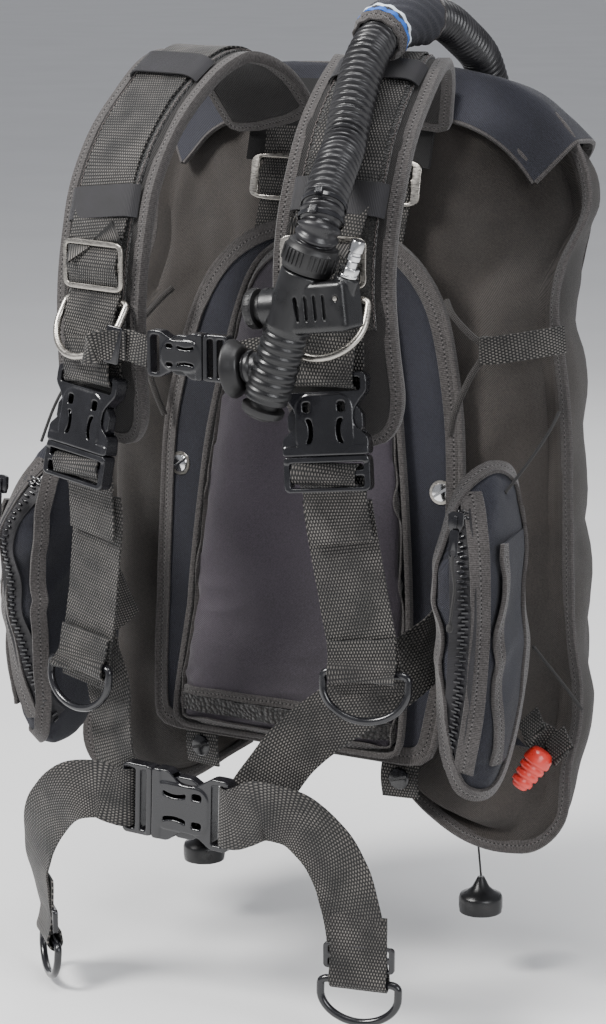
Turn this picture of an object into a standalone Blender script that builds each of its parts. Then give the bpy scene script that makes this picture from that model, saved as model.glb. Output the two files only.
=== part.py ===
"""Buoyancy compensator vest: back plate, padded harness, wing, inflator and quick-release hardware.

Metres, +Z up. The wearer faces -Y and the tank sits behind, at +Y; +X is the wearer's left.
The origin is the centre of the flat face that the tank rests on.
"""

import math

import bmesh
import bpy
import numpy as np
from mathutils import Matrix, Vector

# Overall sizes. Places are written for REFERENCE_* and move with these two.
REFERENCE_HALF_WIDTH = 0.204
REFERENCE_SHOULDER = 0.316
HALF_WIDTH = 0.204  # centre line to the side seam of the wing
SHOULDER_HEIGHT = 0.316  # tank seat centre to the top of the shoulder straps

# Sheet goods
CLEARANCE = 0.0004
CLOTH = 0.0015
WEB_WIDTH = 0.051
WEB_THICK = 0.0016
BELT_WIDTH = 0.044
SMALL_WEB_WIDTH = 0.025
PAD_THICK = 0.009
PAD_WIDTH = 0.084
PANEL_THICK = 0.008
CUSHION_THICK = 0.012

# Tank, plate and bands
TANK_RADIUS = 0.092
BAND_THICK = 0.0028
BAND_WIDTH = 0.050
BAND_HEIGHTS = {"upper": 0.060, "lower": -0.095}
PLATE_THICK = 0.004
PLATE_FRONT = -0.022
PLATE_TOP, PLATE_BOTTOM = 0.135, -0.165
CRADLE_HALF_WIDTH = 0.045
CRADLE_TOP, CRADLE_BOTTOM = 0.125, -0.155
BAND_LINE = -0.0125  # where a band crosses inside the cradle

# Wing
WING_DEPTH = 0.085
WING_SPREAD = 0.012
FLANGE_X = 0.058
FLANGE_FRONT, FLANGE_REAR = -0.0165, -0.006

# Side-release buckles: half width of the frame, thickness, lengths from the mouth
BUCKLE_HALF = 0.031
BUCKLE_THICK = 0.012
BUCKLE_WALL = 0.0015
BUCKLE_SIDE_WALL = 0.0034
SOCKET_LENGTH = 0.057
PLUG_LENGTH = 0.025
PRONG_LENGTH = 0.034
FIT = 0.0005

# Rings and slides
STEEL_WIRE = 0.0026
SLIDE_THICK = 0.002
SLIDE_HALF_HEIGHT = 0.018

# Hose and inflator
HOSE_RADIUS = 0.015
INFLATOR_RADIUS = 0.0160
COLLAR_LENGTH = 0.020
BARREL_LENGTH = 0.094
BUTTON_TRAVEL = 0.004
BUTTON_STEM = 0.0095
COUPLING_X = 0.0305
BOSS_FACE = -0.023
MOUTH_FACE = -0.0236
HEAD_TILT = math.radians(-26)

# Straps
STRAP_SPLAY = math.radians(13)
STRAP_UNEVEN = 0.007
LOWER_UNEVEN = 0.012
STRAP_LIFT = PAD_THICK / 2 + WEB_THICK / 2 + 0.0024
SLIDE_PLACE = (0.0945, -0.193, 0.173)
BUCKLE_AXIS = Vector((-0.005, 0.005, 0.040)).normalized()
BUCKLE_MOUTH = (0.1025, -0.1995, 0.0405)

# Waist and sternum buckles
WAIST_MOUTH = (-0.048, -0.190, -0.2265)
WAIST_AXIS = Vector((1.0, 0.0, -0.03)).normalized()
WAIST_HALF = 0.027
WAIST_SOCKET = 0.066
WAIST_PLUG = 0.026
WAIST_PRONG = 0.040
STERNUM_HALF = 0.0165
STERNUM_THICK = 0.010
STERNUM_SOCKET = 0.046
STERNUM_PLUG = 0.020
STERNUM_PRONG = 0.027
STERNUM_MOUTH = (0.010, -0.209, 0.110)
WAIST_KEPT = 0.075  # the belt keeps its distance from the buckle this far out
WAIST_BLEND = 0.050

# Hose run, pockets and pulls
HOSE_END = (0.1138, -0.2382, 0.199)
INFLATOR_AXIS = Vector((-0.315, -0.03, -0.949)).normalized()
ELBOW_BEND = 0.020
ELBOW_RADIUS = HOSE_RADIUS + 0.0015
WRAP_GAP = 0.0014
POCKET_SIZE = (0.040, 0.094, 0.232)
POCKET_CENTRE = (0.181, -0.117, -0.092)
POCKET_UNEVEN = 0.006
KNOB_X, KNOB_HEIGHT = 0.125, -0.330
PULL_CORD_Y, PULL_CORD_TOP = -0.008, -0.272

BLACK_CLOTH = "17140F"
NAVY_CLOTH = "1C1D26"
CUSHION_CLOTH = "2E282D"
WEBBING = "191614"
BLACK_PLASTIC = "1B1B1D"
STEEL = "B9B4AC"
RED = "D8342A"

parts = None
helpers = None
materials = {}


def at(x, y, z):
    """A place on the reference vest, moved with the overall sizes."""
    return Vector((x * HALF_WIDTH / REFERENCE_HALF_WIDTH, y, z * SHOULDER_HEIGHT / REFERENCE_SHOULDER))


def start():
    global parts, helpers
    for item in list(bpy.data.objects):
        bpy.data.objects.remove(item)
    parts = bpy.data.collections.new("buoyancy_vest")
    helpers = bpy.data.collections.new("cutters")
    for collection in (parts, helpers):
        bpy.context.scene.collection.children.link(collection)


def material(name, colour, roughness, metallic=0.0):
    if name in materials:
        return materials[name]
    made = bpy.data.materials.new(name)
    made.use_nodes = True
    shader = made.node_tree.nodes["Principled BSDF"]
    channels = [int(colour[i : i + 2], 16) / 255 for i in (0, 2, 4)]
    linear = [c / 12.92 if c <= 0.04045 else ((c + 0.055) / 1.055) ** 2.4 for c in channels]
    shader.inputs["Base Color"].default_value = (*linear, 1)
    shader.inputs["Roughness"].default_value = roughness
    shader.inputs["Metallic"].default_value = metallic
    materials[name] = made
    return made


def cloth(name):
    return material(name + "_cloth", BLACK_CLOTH, 0.85)


def navy(name):
    return material(name + "_cloth", NAVY_CLOTH, 0.85)


def web(name):
    return material(name + "_web", WEBBING, 0.75)


def plastic(name):
    return material(name + "_plastic", BLACK_PLASTIC, 0.35)


def steel(name):
    return material(name + "_steel", STEEL, 0.28, 1.0)


# ---------------------------------------------------------------- shapes


def link(name, data, coat, frame=None, helper=False):
    """A new object in the part's collection, or hidden among the cutters."""
    made = bpy.data.objects.new(name, data)
    (helpers if helper else parts).objects.link(made)
    if coat is not None:
        data.materials.append(coat)
    if frame is not None:
        made.parent = frame
    if helper:
        made.hide_render = True
        made.display_type = "WIRE"
    return made


def frame_at(name, origin, up, front):
    """An empty whose Z runs along up and whose -Y looks along front."""
    z = Vector(up).normalized()
    y = -Vector(front)
    y = (y - z * y.dot(z)).normalized()
    turn = Matrix((y.cross(z), y, z)).transposed().to_4x4()
    made = bpy.data.objects.new(name, None)
    made.matrix_world = Matrix.Translation(Vector(origin)) @ turn
    parts.objects.link(made)
    return made


def from_bmesh(name, bm, coat, frame=None, helper=False):
    data = bpy.data.meshes.new(name)
    bmesh.ops.recalc_face_normals(bm, faces=bm.faces)
    bm.to_mesh(data)
    bm.free()
    return link(name, data, coat, frame, helper)


def box(name, size, centre, coat=None, frame=None, helper=False, bevel=0.0, turn=None):
    bm = bmesh.new()
    bmesh.ops.create_cube(bm, size=1.0)
    bmesh.ops.scale(bm, vec=size, verts=bm.verts)
    if bevel:
        bmesh.ops.bevel(bm, geom=bm.edges[:], offset=bevel, segments=2, profile=0.5, affect="EDGES")
    made = from_bmesh(name, bm, coat, frame, helper)
    made.location = centre
    if turn is not None:
        made.rotation_euler = turn
    return made


def rod(name, radius, length, centre, coat=None, frame=None, helper=False, turn=None, sides=24, tip=None):
    """A cylinder along its own Z, or a cone where tip gives the far radius."""
    bm = bmesh.new()
    bmesh.ops.create_cone(
        bm,
        cap_ends=True,
        segments=sides,
        radius1=radius,
        radius2=radius if tip is None else tip,
        depth=length,
    )
    made = from_bmesh(name, bm, coat, frame, helper)
    made.location = centre
    if turn is not None:
        made.rotation_euler = turn
    return made


def boolean(target, other, operation):
    step = target.modifiers.new(operation.lower() + "_" + other.name, "BOOLEAN")
    step.operation = operation
    step.solver = "EXACT"
    step.object = other
    return target


def cut(target, other):
    return boolean(target, other, "DIFFERENCE")


def add(target, other):
    return boolean(target, other, "UNION")


def turned(name, profile, coat, frame=None, steps=24, centre=(0, 0, 0), turn=None, helper=False):
    """A closed body of revolution about its own Z, from (radius, height) points given top to bottom."""
    bm = bmesh.new()
    row = [bm.verts.new((radius, 0, height)) for radius, height in profile]
    for first, second in zip(row, row[1:]):
        bm.edges.new((first, second))
    data = bpy.data.meshes.new(name)
    bm.to_mesh(data)
    bm.free()
    made = link(name, data, coat, frame, helper)
    made.location = centre
    if turn is not None:
        made.rotation_euler = turn
    spin = made.modifiers.new("spin", "SCREW")
    spin.steps = spin.render_steps = steps
    spin.use_merge_vertices = True
    spin.merge_threshold = 0.00005
    spin.use_smooth_shade = False
    return made


def plate(name, outlines, thickness, coat=None, frame=None, helper=False, centre=(0, 0, 0), turn=None):
    """A flat piece in its own XZ plane: the first outline is the edge, the rest are holes."""
    data = bpy.data.curves.new(name, "CURVE")
    data.dimensions = "2D"
    data.fill_mode = "BOTH"
    data.extrude = thickness / 2
    for outline in outlines:
        outline_run = data.splines.new("POLY")
        outline_run.points.add(len(outline) - 1)
        for point, (x, z) in zip(outline_run.points, outline):
            point.co = (x, z, 0, 1)
        outline_run.use_cyclic_u = True
    curve = bpy.data.objects.new(name + "_outline", data)
    helpers.objects.link(curve)
    bpy.context.view_layer.update()
    solid = bpy.data.meshes.new_from_object(curve.evaluated_get(bpy.context.evaluated_depsgraph_get()))
    bpy.data.objects.remove(curve)
    bm = bmesh.new()
    bm.from_mesh(solid)
    bmesh.ops.remove_doubles(bm, verts=bm.verts, dist=0.00002)
    bmesh.ops.rotate(bm, verts=bm.verts, cent=(0, 0, 0), matrix=Matrix.Rotation(math.pi / 2, 3, "X"))
    made = from_bmesh(name, bm, coat, frame, helper)
    made.location = centre
    if turn is not None:
        made.rotation_euler = turn
    return made


def rounded(half_width, half_height, radius, steps=4, centre=(0.0, 0.0)):
    """Corner points of a rectangle with round corners, as (x, z)."""
    points = []
    for quarter, (sx, sz) in enumerate(((1, 1), (-1, 1), (-1, -1), (1, -1))):
        for step in range(steps + 1):
            angle = math.pi / 2 * (quarter + step / steps)
            x = centre[0] + sx * (half_width - radius) + radius * math.cos(angle)
            z = centre[1] + sz * (half_height - radius) + radius * math.sin(angle)
            points.append((x, z))
    return points


def spline(points, spacing=None, count=None):
    """Evenly spaced points on a smooth curve through the given ones; extra values ride along."""
    given = np.array(points, float)
    ends = np.vstack([2 * given[0] - given[1], given, 2 * given[-1] - given[-2]])
    dense = []
    for a, b, c, d in zip(ends, ends[1:], ends[2:], ends[3:]):
        for t in np.arange(0, 1, 1 / 16):
            cubic = (3 * b - a - 3 * c + d) * t**3 + (2 * a - 5 * b + 4 * c - d) * t**2 + (c - a) * t + 2 * b
            dense.append(cubic / 2)
    dense = np.array([*dense, given[-1]])
    steps = np.linalg.norm(np.diff(dense[:, :3], axis=0), axis=1)
    length = np.concatenate([[0], np.cumsum(steps)])
    if count is None:
        count = max(3, int(round(length[-1] / spacing)) + 1)
    wanted = np.linspace(0, length[-1], count)
    return np.stack([np.interp(wanted, length, column) for column in dense.T], axis=1)


def sheet(name, rows, thickness, coat, offset=0.0, frame=None):
    """A closed sheet: an open surface through rows of points, thickened by Solidify.

    The surface faces along (column direction) x (row direction); offset -1 thickens behind it, 1 in front.
    """
    rows = np.array(rows, float)
    count_rows, count_columns = rows.shape[:2]
    bm = bmesh.new()
    bmesh.ops.create_grid(bm, x_segments=count_columns - 1, y_segments=count_rows - 1, size=1.0)
    for vertex in bm.verts:
        column = round((vertex.co.x + 1) / 2 * (count_columns - 1))
        row = round((vertex.co.y + 1) / 2 * (count_rows - 1))
        vertex.co = rows[row, column]
    data = bpy.data.meshes.new(name)
    bm.to_mesh(data)
    bm.free()
    made = link(name, data, coat, frame)
    wall = made.modifiers.new("wall", "SOLIDIFY")
    wall.thickness = thickness
    wall.offset = offset
    wall.use_even_offset = False
    return made


def ribbon_rows(route, width, spacing=0.012, widths=None):
    """Rows across a strip. Each route entry is (place, width direction, offset along the outward face)."""
    flat = [(*place, *across, lift) for place, across, lift in route]
    run = spline(flat, spacing=spacing)
    centre, across, lift = run[:, :3], run[:, 3:6], run[:, 6:7]
    along = np.gradient(centre, axis=0)
    along /= np.linalg.norm(along, axis=1, keepdims=True)
    across = across - along * np.sum(across * along, axis=1, keepdims=True)
    across /= np.linalg.norm(across, axis=1, keepdims=True)
    outward = np.cross(along, across)
    centre = centre + outward * lift
    half = np.full(len(centre), width / 2)
    if widths is not None:
        half = half * np.array([widths(t) for t in np.linspace(0, 1, len(centre))])
    return [
        [centre[i] - across[i] * half[i], centre[i], centre[i] + across[i] * half[i]]
        for i in range(len(centre))
    ]


def ribbon(name, route, width, thickness, coat, spacing=0.012, widths=None, offset=0.0):
    return sheet(name, ribbon_rows(route, width, spacing, widths), thickness, coat, offset)


def tube(name, points, radius, coat, resolution=2, cyclic=False, frame=None):
    data = bpy.data.curves.new(name, "CURVE")
    data.dimensions = "3D"
    data.bevel_depth = radius
    data.bevel_resolution = resolution
    data.use_fill_caps = not cyclic
    run = data.splines.new("POLY")
    run.points.add(len(points) - 1)
    for place, point in zip(points, run.points):
        point.co = (*place, 1)
    run.use_cyclic_u = cyclic
    return link(name, data, coat, frame)


def side_name(side):
    return "left" if side > 0 else "right"


def across_at(side, splay):
    """Width direction of a strap that faces forwards and, by the splay angle, outwards."""
    return (math.cos(splay), side * math.sin(splay), 0.0)


# ---------------------------------------------------------------- plate, panel and cushion


def torso_front(z):
    """Front face of the padded panel: it leans forwards from the shoulder blades to the lumbar."""
    heights = [-0.21, -0.16, -0.11, 0.025, 0.128, 0.172, 0.20]
    depths = [-0.080, -0.070, -0.058, -0.049, -0.036, -0.033, -0.032]
    return float(np.interp(z, heights, depths))


def steepening(z):
    """How much further apart, along Y, two layers stand when the shoulder height leans them more."""
    slope = (torso_front(z + 0.01) - torso_front(z - 0.01)) / 0.02
    return math.hypot(1, slope * REFERENCE_SHOULDER / SHOULDER_HEIGHT) / math.hypot(1, slope)


def panel_half_width(z):
    heights = [-0.205, -0.198, -0.112, 0.025, 0.128, 0.165, 0.180, 0.188]
    widths = [0.110, 0.119, 0.129, 0.127, 0.104, 0.072, 0.045, 0.020]
    return float(np.interp(z, heights, widths)) * HALF_WIDTH / REFERENCE_HALF_WIDTH


def cushion_half_width(z):
    heights = [-0.200, -0.190, -0.09, 0.03, 0.13, 0.160, 0.170, 0.176]
    widths = [0.090, 0.098, 0.094, 0.082, 0.062, 0.045, 0.030, 0.012]
    return float(np.interp(z, heights, widths)) * HALF_WIDTH / REFERENCE_HALF_WIDTH


def back_plate():
    coat = plastic("back_plate")
    taller = SHOULDER_HEIGHT / REFERENCE_SHOULDER
    top = PLATE_TOP * taller
    made = plate("back_plate", [rounded(FLANGE_X + 0.004, (top - PLATE_BOTTOM) / 2, 0.02)], PLATE_THICK, coat)
    made.location = (0, PLATE_FRONT + PLATE_THICK / 2, (top + PLATE_BOTTOM) / 2)
    depth = -PLATE_FRONT - PLATE_THICK / 2
    cradle_top = CRADLE_TOP * taller
    height = cradle_top - CRADLE_BOTTOM
    centre = (0, -depth / 2, (cradle_top + CRADLE_BOTTOM) / 2)
    cradle = box("plate_cradle", (2 * CRADLE_HALF_WIDTH, depth, height), centre, coat, helper=True)
    add(made, cradle)
    for level, z in BAND_HEIGHTS.items():
        slot_size = (2 * CRADLE_HALF_WIDTH + 0.01, BAND_THICK + 0.003, BAND_WIDTH + 0.004)
        slot = box("band_slot_" + level, slot_size, (0, BAND_LINE, z), coat, helper=True)
        cut(made, slot)
    return made


def padded_layer(name, half_width, low, high, thickness, gap, coat, crown=0.0, count=14):
    """A panel of the torso padding: its rear face stands gap in front of the panel's own front."""
    rows = []
    for t in np.linspace(0, 1, count):
        z = low + (high - low) * t
        half = half_width(z)
        stand_off = gap * steepening(z)
        row = []
        for share in np.linspace(-1, 1, 9):
            lift = crown * (1 - share**2)
            row.append(at(0, torso_front(z) - stand_off - lift, z) + Vector((share * half, 0, 0)))
        rows.append(row)
    return sheet(name, rows, thickness, coat, offset=-1.0)


def torso_padding():
    padded_layer("back_panel", panel_half_width, -0.205, 0.188, PANEL_THICK, 0.0, navy("back_panel"))
    padded_layer(
        "back_pad",
        cushion_half_width,
        -0.200,
        0.176,
        CUSHION_THICK - CLEARANCE,
        CUSHION_THICK,
        material("back_pad_cloth", CUSHION_CLOTH, 0.55),
        crown=0.006,
    )


# ---------------------------------------------------------------- wing

# Inner edge (x, z), seam (x, y, z) and rear depth share, from the top centre to the lobe's tip
WING_STATIONS = [
    ((0.000, 0.150), (0.000, 0.044, 0.292), 0.20),
    ((0.020, 0.150), (0.055, 0.044, 0.292), 0.24),
    ((0.040, 0.146), (0.100, 0.044, 0.287), 0.36),
    ((0.052, 0.136), (0.140, 0.043, 0.272), 0.56),
    ((0.058, 0.120), (0.171, 0.041, 0.244), 0.80),
    ((0.058, 0.100), (0.186, 0.034, 0.203), 0.95),
    ((0.058, 0.080), (0.177, 0.012, 0.160), 1.00),
    ((0.058, 0.060), (0.180, -0.008, 0.120), 1.00),
    ((0.058, 0.030), (0.196, -0.020, 0.060), 1.00),
    ((0.058, -0.020), (0.204, -0.028, -0.030), 1.00),
    ((0.058, -0.070), (0.209, -0.030, -0.105), 1.00),
    ((0.058, -0.115), (0.214, -0.026, -0.160), 0.95),
    ((0.058, -0.145), (0.208, -0.032, -0.205), 0.90),
    ((0.058, -0.160), (0.206, -0.037, -0.243), 0.80),
    ((0.058, -0.172), (0.182, -0.042, -0.264), 0.68),
    ((0.057, -0.180), (0.142, -0.044, -0.265), 0.52),
    ((0.056, -0.185), (0.102, -0.040, -0.249), 0.36),
    ((0.054, -0.188), (0.060, -0.030, -0.219), 0.20),
]


def wing_station(index, side):
    (inner_x, inner_z), (seam_x, seam_y, seam_z), share = WING_STATIONS[index]
    inner = at(side * inner_x, 0, inner_z)
    if abs(inner_x) >= FLANGE_X - 0.005:
        inner.x = side * inner_x
    return inner, at(side * seam_x, seam_y, seam_z), WING_DEPTH * share


def both_sides(section):
    """Sections from the left lobe's tip over the top to the right lobe's tip."""
    last = len(WING_STATIONS) - 1
    left = [section(index, 1) for index in range(last, 0, -1)]
    right = [section(index, -1) for index in range(last + 1)]
    return left + right


def front_section(index, side, steps=6):
    """The wing's front cloth, flat behind the panel and full between it and the seam."""
    inner, seam, _ = wing_station(index, side)
    inner = Vector((inner.x, FLANGE_FRONT, inner.z))
    fullness = 0.014 * max(0.0, min(1.0, (index - 5) / 3)) * max(0.25, min(1.0, (17 - index) / 3))
    row = []
    for t in np.linspace(0, 1, steps + 1):
        place = inner.lerp(seam, t)
        place.y -= fullness * math.sin(math.pi * t**1.6)
        row.append(place)
    return row


def rear_place(index, side, angle, grow=0.0):
    inner, seam, depth = wing_station(index, side)
    inner = Vector((inner.x, FLANGE_REAR, inner.z))
    run = seam - inner
    outward = Vector((run.x, 0, run.z)).normalized()
    place = inner.lerp(seam, (1 - math.cos(angle)) / 2)
    swell = math.sin(angle) ** (2.8 if angle < math.pi / 2 else 1.0)
    place += outward * (WING_SPREAD * depth / WING_DEPTH * swell * (1 - math.cos(angle)) / 2)
    place.y += depth * swell + 0.0045 * (angle / math.pi) ** 2
    place += Vector((0, swell, 0)) * grow - outward * (math.cos(angle) * grow)
    return place


def rear_section(index, side, steps=10):
    return [rear_place(index, side, math.pi * t) for t in np.linspace(0, 1, steps + 1)]


def bladder_section(index, side):
    """A closed ring inside both cloths."""
    inner, seam, _ = wing_station(index, side)
    ring = [rear_place(index, side, math.pi * t) for t in np.linspace(0.12, 0.88, 6)]
    front = front_section(index, side)
    ring += [front[step] + Vector((0, 0.006, 0)) for step in (5, 3, 1)]
    middle = sum(ring, Vector()) / len(ring)
    return [middle.lerp(place, 0.76) for place in ring]


def ring_loft(name, rings, coat):
    """A closed body through closed rings, with a cap at each end."""
    bm = bmesh.new()
    loops = [[bm.verts.new(place) for place in ring] for ring in rings]
    for first, second in zip(loops, loops[1:]):
        for k in range(len(first)):
            after = (k + 1) % len(first)
            bm.faces.new((first[k], first[after], second[after], second[k]))
    for loop in (loops[0], loops[-1]):
        bm.faces.new(loop)
    bmesh.ops.triangulate(bm, faces=bm.faces[:])
    return from_bmesh(name, bm, coat)


def yoke_section(index, side):
    """The cap's cross-section: down the front cloth, over the seam and down the rear."""
    front = front_section(index, side, steps=40)
    inner, seam, _ = wing_station(index, side)
    outward = Vector((seam.x - inner.x, 0, seam.z - inner.z)).normalized()
    row = [front[step] + Vector((0, -0.003, 0)) for step in (33, 36, 38)]
    row.append(seam + outward * 0.001 + Vector((0, -0.0035, 0)))
    row.append(seam + outward * 0.0045)
    for turn in (0.9, 0.8, 0.7, 0.6):
        row.append(rear_place(index, side, math.pi * turn, grow=0.005))
    return row


def wing():
    sheet("wing_front_shell", both_sides(front_section), CLOTH, cloth("wing_front"), offset=-1.0)
    sheet("wing_rear_shell", both_sides(rear_section), CLOTH, cloth("wing_rear"), offset=1.0)
    rings = both_sides(bladder_section)
    ring_loft("air_bladder", rings[1:-1], material("bladder_film", "2B3138", 0.4))
    left = [yoke_section(index, 1) for index in range(4, 0, -1)]
    right = [yoke_section(index, -1) for index in range(5)]
    sheet("yoke_panel", left + right, CLOTH, navy("yoke_panel"), offset=1.0)


# ---------------------------------------------------------------- shoulder straps

# Centre of the shoulder pad from behind the neck to its lower end, and how much it splays
PAD_ROUTE = [
    ((0.052, -0.010, 0.262), 0.2),
    ((0.064, -0.032, 0.292), 0.3),
    ((0.076, -0.060, 0.307), 0.5),
    ((0.083, -0.086, 0.302), 0.7),
    ((0.088, -0.116, 0.282), 1.0),
    ((0.092, -0.142, 0.258), 1.0),
    ((0.095, -0.162, 0.227), 1.0),
    ((0.095, -0.174, 0.193), 1.0),
    ((0.096, -0.180, 0.155), 1.0),
    ((0.098, -0.178, 0.115), 1.0),
    ((0.100, -0.172, 0.078), 1.0),
    ((0.100, -0.163, 0.046), 1.0),
]


def strap_at(side, x, y, z):
    """A place on a strap: the left one is drawn a little shorter than the right one below the shoulder."""
    share = min(1.0, max(0.0, (0.30 - z) / 0.08))
    return at(side * x, y, z + side * STRAP_UNEVEN * share)


def pad_route(side, lift):
    route = []
    for (x, y, z), share in PAD_ROUTE:
        route.append((strap_at(side, x, y, z), across_at(side, STRAP_SPLAY * share), lift))
    return route


def pad_width(t):
    """Full width, rounded off over the last stretch at each end."""
    end = min(t / 0.02, (1 - t) / 0.10, 1.0)
    return 0.45 + 0.55 * math.sqrt(max(0.0, 1 - (1 - end) ** 2))


def shoulder_pad(side):
    route = pad_route(side, 0.0)
    name = "shoulder_pad_" + side_name(side)
    ribbon(name, route, PAD_WIDTH, PAD_THICK, cloth("shoulder_pad"), widths=pad_width)


def strap_run(side):
    """The shoulder webbing: on the pad, over the slide's middle bar, behind the ring, to the socket's bar."""
    route = pad_route(side, STRAP_LIFT)[1:7]
    splay = across_at(side, STRAP_SPLAY)
    x, y, z = SLIDE_PLACE
    bar, slot = SLIDE_HALF_HEIGHT - 0.002, SLIDE_HALF_HEIGHT - 0.0098
    weave = SLIDE_THICK / 2 + WEB_THICK / 2 + 0.0008
    above = ((bar + 0.004, -weave - 0.0018), (bar - 0.0015, -weave - 0.0007), (slot, 0.0), (0.0, weave))
    below = ((-slot, 0.0), (0.0015 - bar, -weave), (-bar - 0.003, -weave))
    for height, lift in above + below:
        route.append((strap_at(side, x, y, z) + Vector((0, 0, height)), splay, lift))
    route.append((strap_at(side, 0.0955, -0.1955, 0.140), splay, 0.0))
    route.append((strap_at(side, 0.0970, -0.1965, 0.118), splay, 0.0))
    return route


def shoulder_webbing(side):
    name = "shoulder_webbing_" + side_name(side)
    ribbon(name, strap_run(side), WEB_WIDTH, WEB_THICK, web("shoulder"), spacing=0.0042)


def strap_slide(side):
    """A flat steel tri-glide with pinched sides and two slots."""
    frame = frame_at(
        "strap_slide_frame_" + side_name(side),
        strap_at(side, *SLIDE_PLACE),
        (0, 0, 1),
        (side * math.sin(STRAP_SPLAY), -math.cos(STRAP_SPLAY), 0),
    )
    half = WEB_WIDTH / 2 + 0.0055
    edge = []
    for step in range(24):
        angle = 2 * math.pi * (step + 0.5) / 24
        x = half * math.copysign(abs(math.cos(angle)) ** 0.35, math.cos(angle))
        z = SLIDE_HALF_HEIGHT * math.copysign(abs(math.sin(angle)) ** 0.35, math.sin(angle))
        pinch = 0.0016 * math.cos(math.pi * z / SLIDE_HALF_HEIGHT) if abs(x) > half * 0.8 else 0.0
        edge.append((x - math.copysign(pinch, x), z))
    slot_half = WEB_WIDTH / 2 + 0.0012
    slots = [
        rounded(slot_half, 0.0058, 0.002, steps=2, centre=(0, sign * (SLIDE_HALF_HEIGHT - 0.0098)))
        for sign in (1, -1)
    ]
    plate("strap_slide_" + side_name(side), [edge, *slots], SLIDE_THICK, steel("strap_slide"), frame)


def d_ring_points(half, drop, forward, corner=0.006):
    """A ring from its straight bar: (x, forward, down) with rounded shoulders and a half-round nose."""
    points = [(-half + corner, 0, 0), (0, 0, 0), (half - corner, 0, 0), (half, 0, -corner * 0.6)]
    for step in range(7):
        angle = math.pi * step / 6
        z = -drop * (0.35 + 0.65 * math.sin(angle))
        points.append((half * math.cos(angle) * (1.0 - 0.05 * math.sin(angle)), 0, z))
    points.append((-half, 0, -corner * 0.6))
    return [Vector((x, forward * (-z / drop), z)) for x, _, z in points]


def shoulder_d_ring(side):
    splay = (side * math.sin(STRAP_SPLAY), -math.cos(STRAP_SPLAY), 0)
    bar = strap_at(side, 0.0950, -0.1928, 0.1475)
    rear = Vector((-splay[0], -splay[1], 0)) * (WEB_THICK / 2 + STEEL_WIRE + 0.0012)
    frame = frame_at("shoulder_d_ring_frame_" + side_name(side), bar + rear, (0, 0, 1), splay)
    half = WEB_WIDTH / 2 + STEEL_WIRE + 0.003
    points = d_ring_points(half, 0.038, -0.024)
    name = "shoulder_d_ring_" + side_name(side)
    tube(name, points, STEEL_WIRE, steel("shoulder_d_ring"), cyclic=True, frame=frame)


# ---------------------------------------------------------------- side-release buckles


def socket_outline(half, length):
    """Mouth at z = 0, a waist where the prongs show, and the frame of the webbing slot at the top."""
    waist = half * 0.68
    right = [(half, 0.0), (half, 0.21 * length), (half * 0.86, 0.27 * length), (waist, 0.36 * length)]
    right += [(waist, 0.54 * length), (half * 0.80, 0.66 * length), (half, 0.76 * length)]
    right += [(half, 0.96 * length), (half - 0.04 * length, length)]
    return right + [(-x, z) for x, z in reversed(right)]


def socket(name, frame, half, thick, length, web_width, coat):
    slot_half = min(web_width / 2 + 0.001, half - 0.003)
    slot = rounded(slot_half, 0.085 * length, 0.0015, steps=1, centre=(0, 0.855 * length))
    made = plate(name, [socket_outline(half, length), slot], thick, coat, frame)
    cavity_size = (2 * (half - BUCKLE_SIDE_WALL * half / BUCKLE_HALF), thick - 2 * BUCKLE_WALL, 1.26 * length)
    cavity = box(name + "_cavity", cavity_size, (0, 0, 0), frame=frame, helper=True)
    return cut(made, cavity)


def prong_outline(half, length):
    """Two sprung arms and a middle tongue on a common root, as one comb."""
    outer = half - BUCKLE_SIDE_WALL * half / BUCKLE_HALF - FIT
    root = -0.003
    arm = 0.42 * half
    right = [
        (outer * 0.92, root),
        (outer * 0.80, 0.30 * length),
        (outer, 0.55 * length),
        (outer, 0.82 * length),
        (outer * 0.84, length),
        (outer * 0.66, length),
        (outer * 0.76, 0.62 * length),
        (arm + 0.0015, 0.25 * length),
        (arm, 0.08 * length),
        (arm * 0.6, 0.08 * length),
        (arm * 0.45, 0.70 * length),
    ]
    return right + [(-x, z) for x, z in reversed(right)]


def plug(name, frame, half, thick, base, prong, web_width, coat):
    """The base with its two webbing slots, and the prongs that reach into the socket."""
    slot_half = min(web_width / 2 + 0.001, half - 0.003)
    middle = -base / 2
    outline = rounded(half, (base - CLEARANCE) / 2, 0.14 * base, steps=3, centre=(0, middle - CLEARANCE / 2))
    near = rounded(slot_half, 0.105 * base, 0.0008, steps=1, centre=(0, -0.29 * base))
    far = rounded(slot_half, 0.150 * base, 0.0008, steps=1, centre=(0, -0.725 * base))
    made = plate(name, [outline, near, far], thick, coat, frame)
    comb = plate(
        name + "_prongs",
        [prong_outline(half, prong)],
        thick - 2 * BUCKLE_WALL - 2 * FIT,
        None,
        frame,
        helper=True,
    )
    return add(made, comb)


def shoulder_buckle(side):
    name = side_name(side)
    up = Vector((side * BUCKLE_AXIS.x, BUCKLE_AXIS.y, BUCKLE_AXIS.z))
    face = (side * math.sin(STRAP_SPLAY), -math.cos(STRAP_SPLAY), 0)
    x, y, z = BUCKLE_MOUTH
    frame = frame_at("shoulder_buckle_frame_" + name, strap_at(side, x, y, z), up, face)
    coat = plastic("shoulder_buckle")
    socket(
        "shoulder_buckle_socket_" + name, frame, BUCKLE_HALF, BUCKLE_THICK, SOCKET_LENGTH, WEB_WIDTH, coat
    )
    plug(
        "shoulder_buckle_plug_" + name,
        frame,
        BUCKLE_HALF,
        BUCKLE_THICK,
        PLUG_LENGTH,
        PRONG_LENGTH,
        WEB_WIDTH,
        coat,
    )


# ---------------------------------------------------------------- lower straps and waist belt


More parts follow.
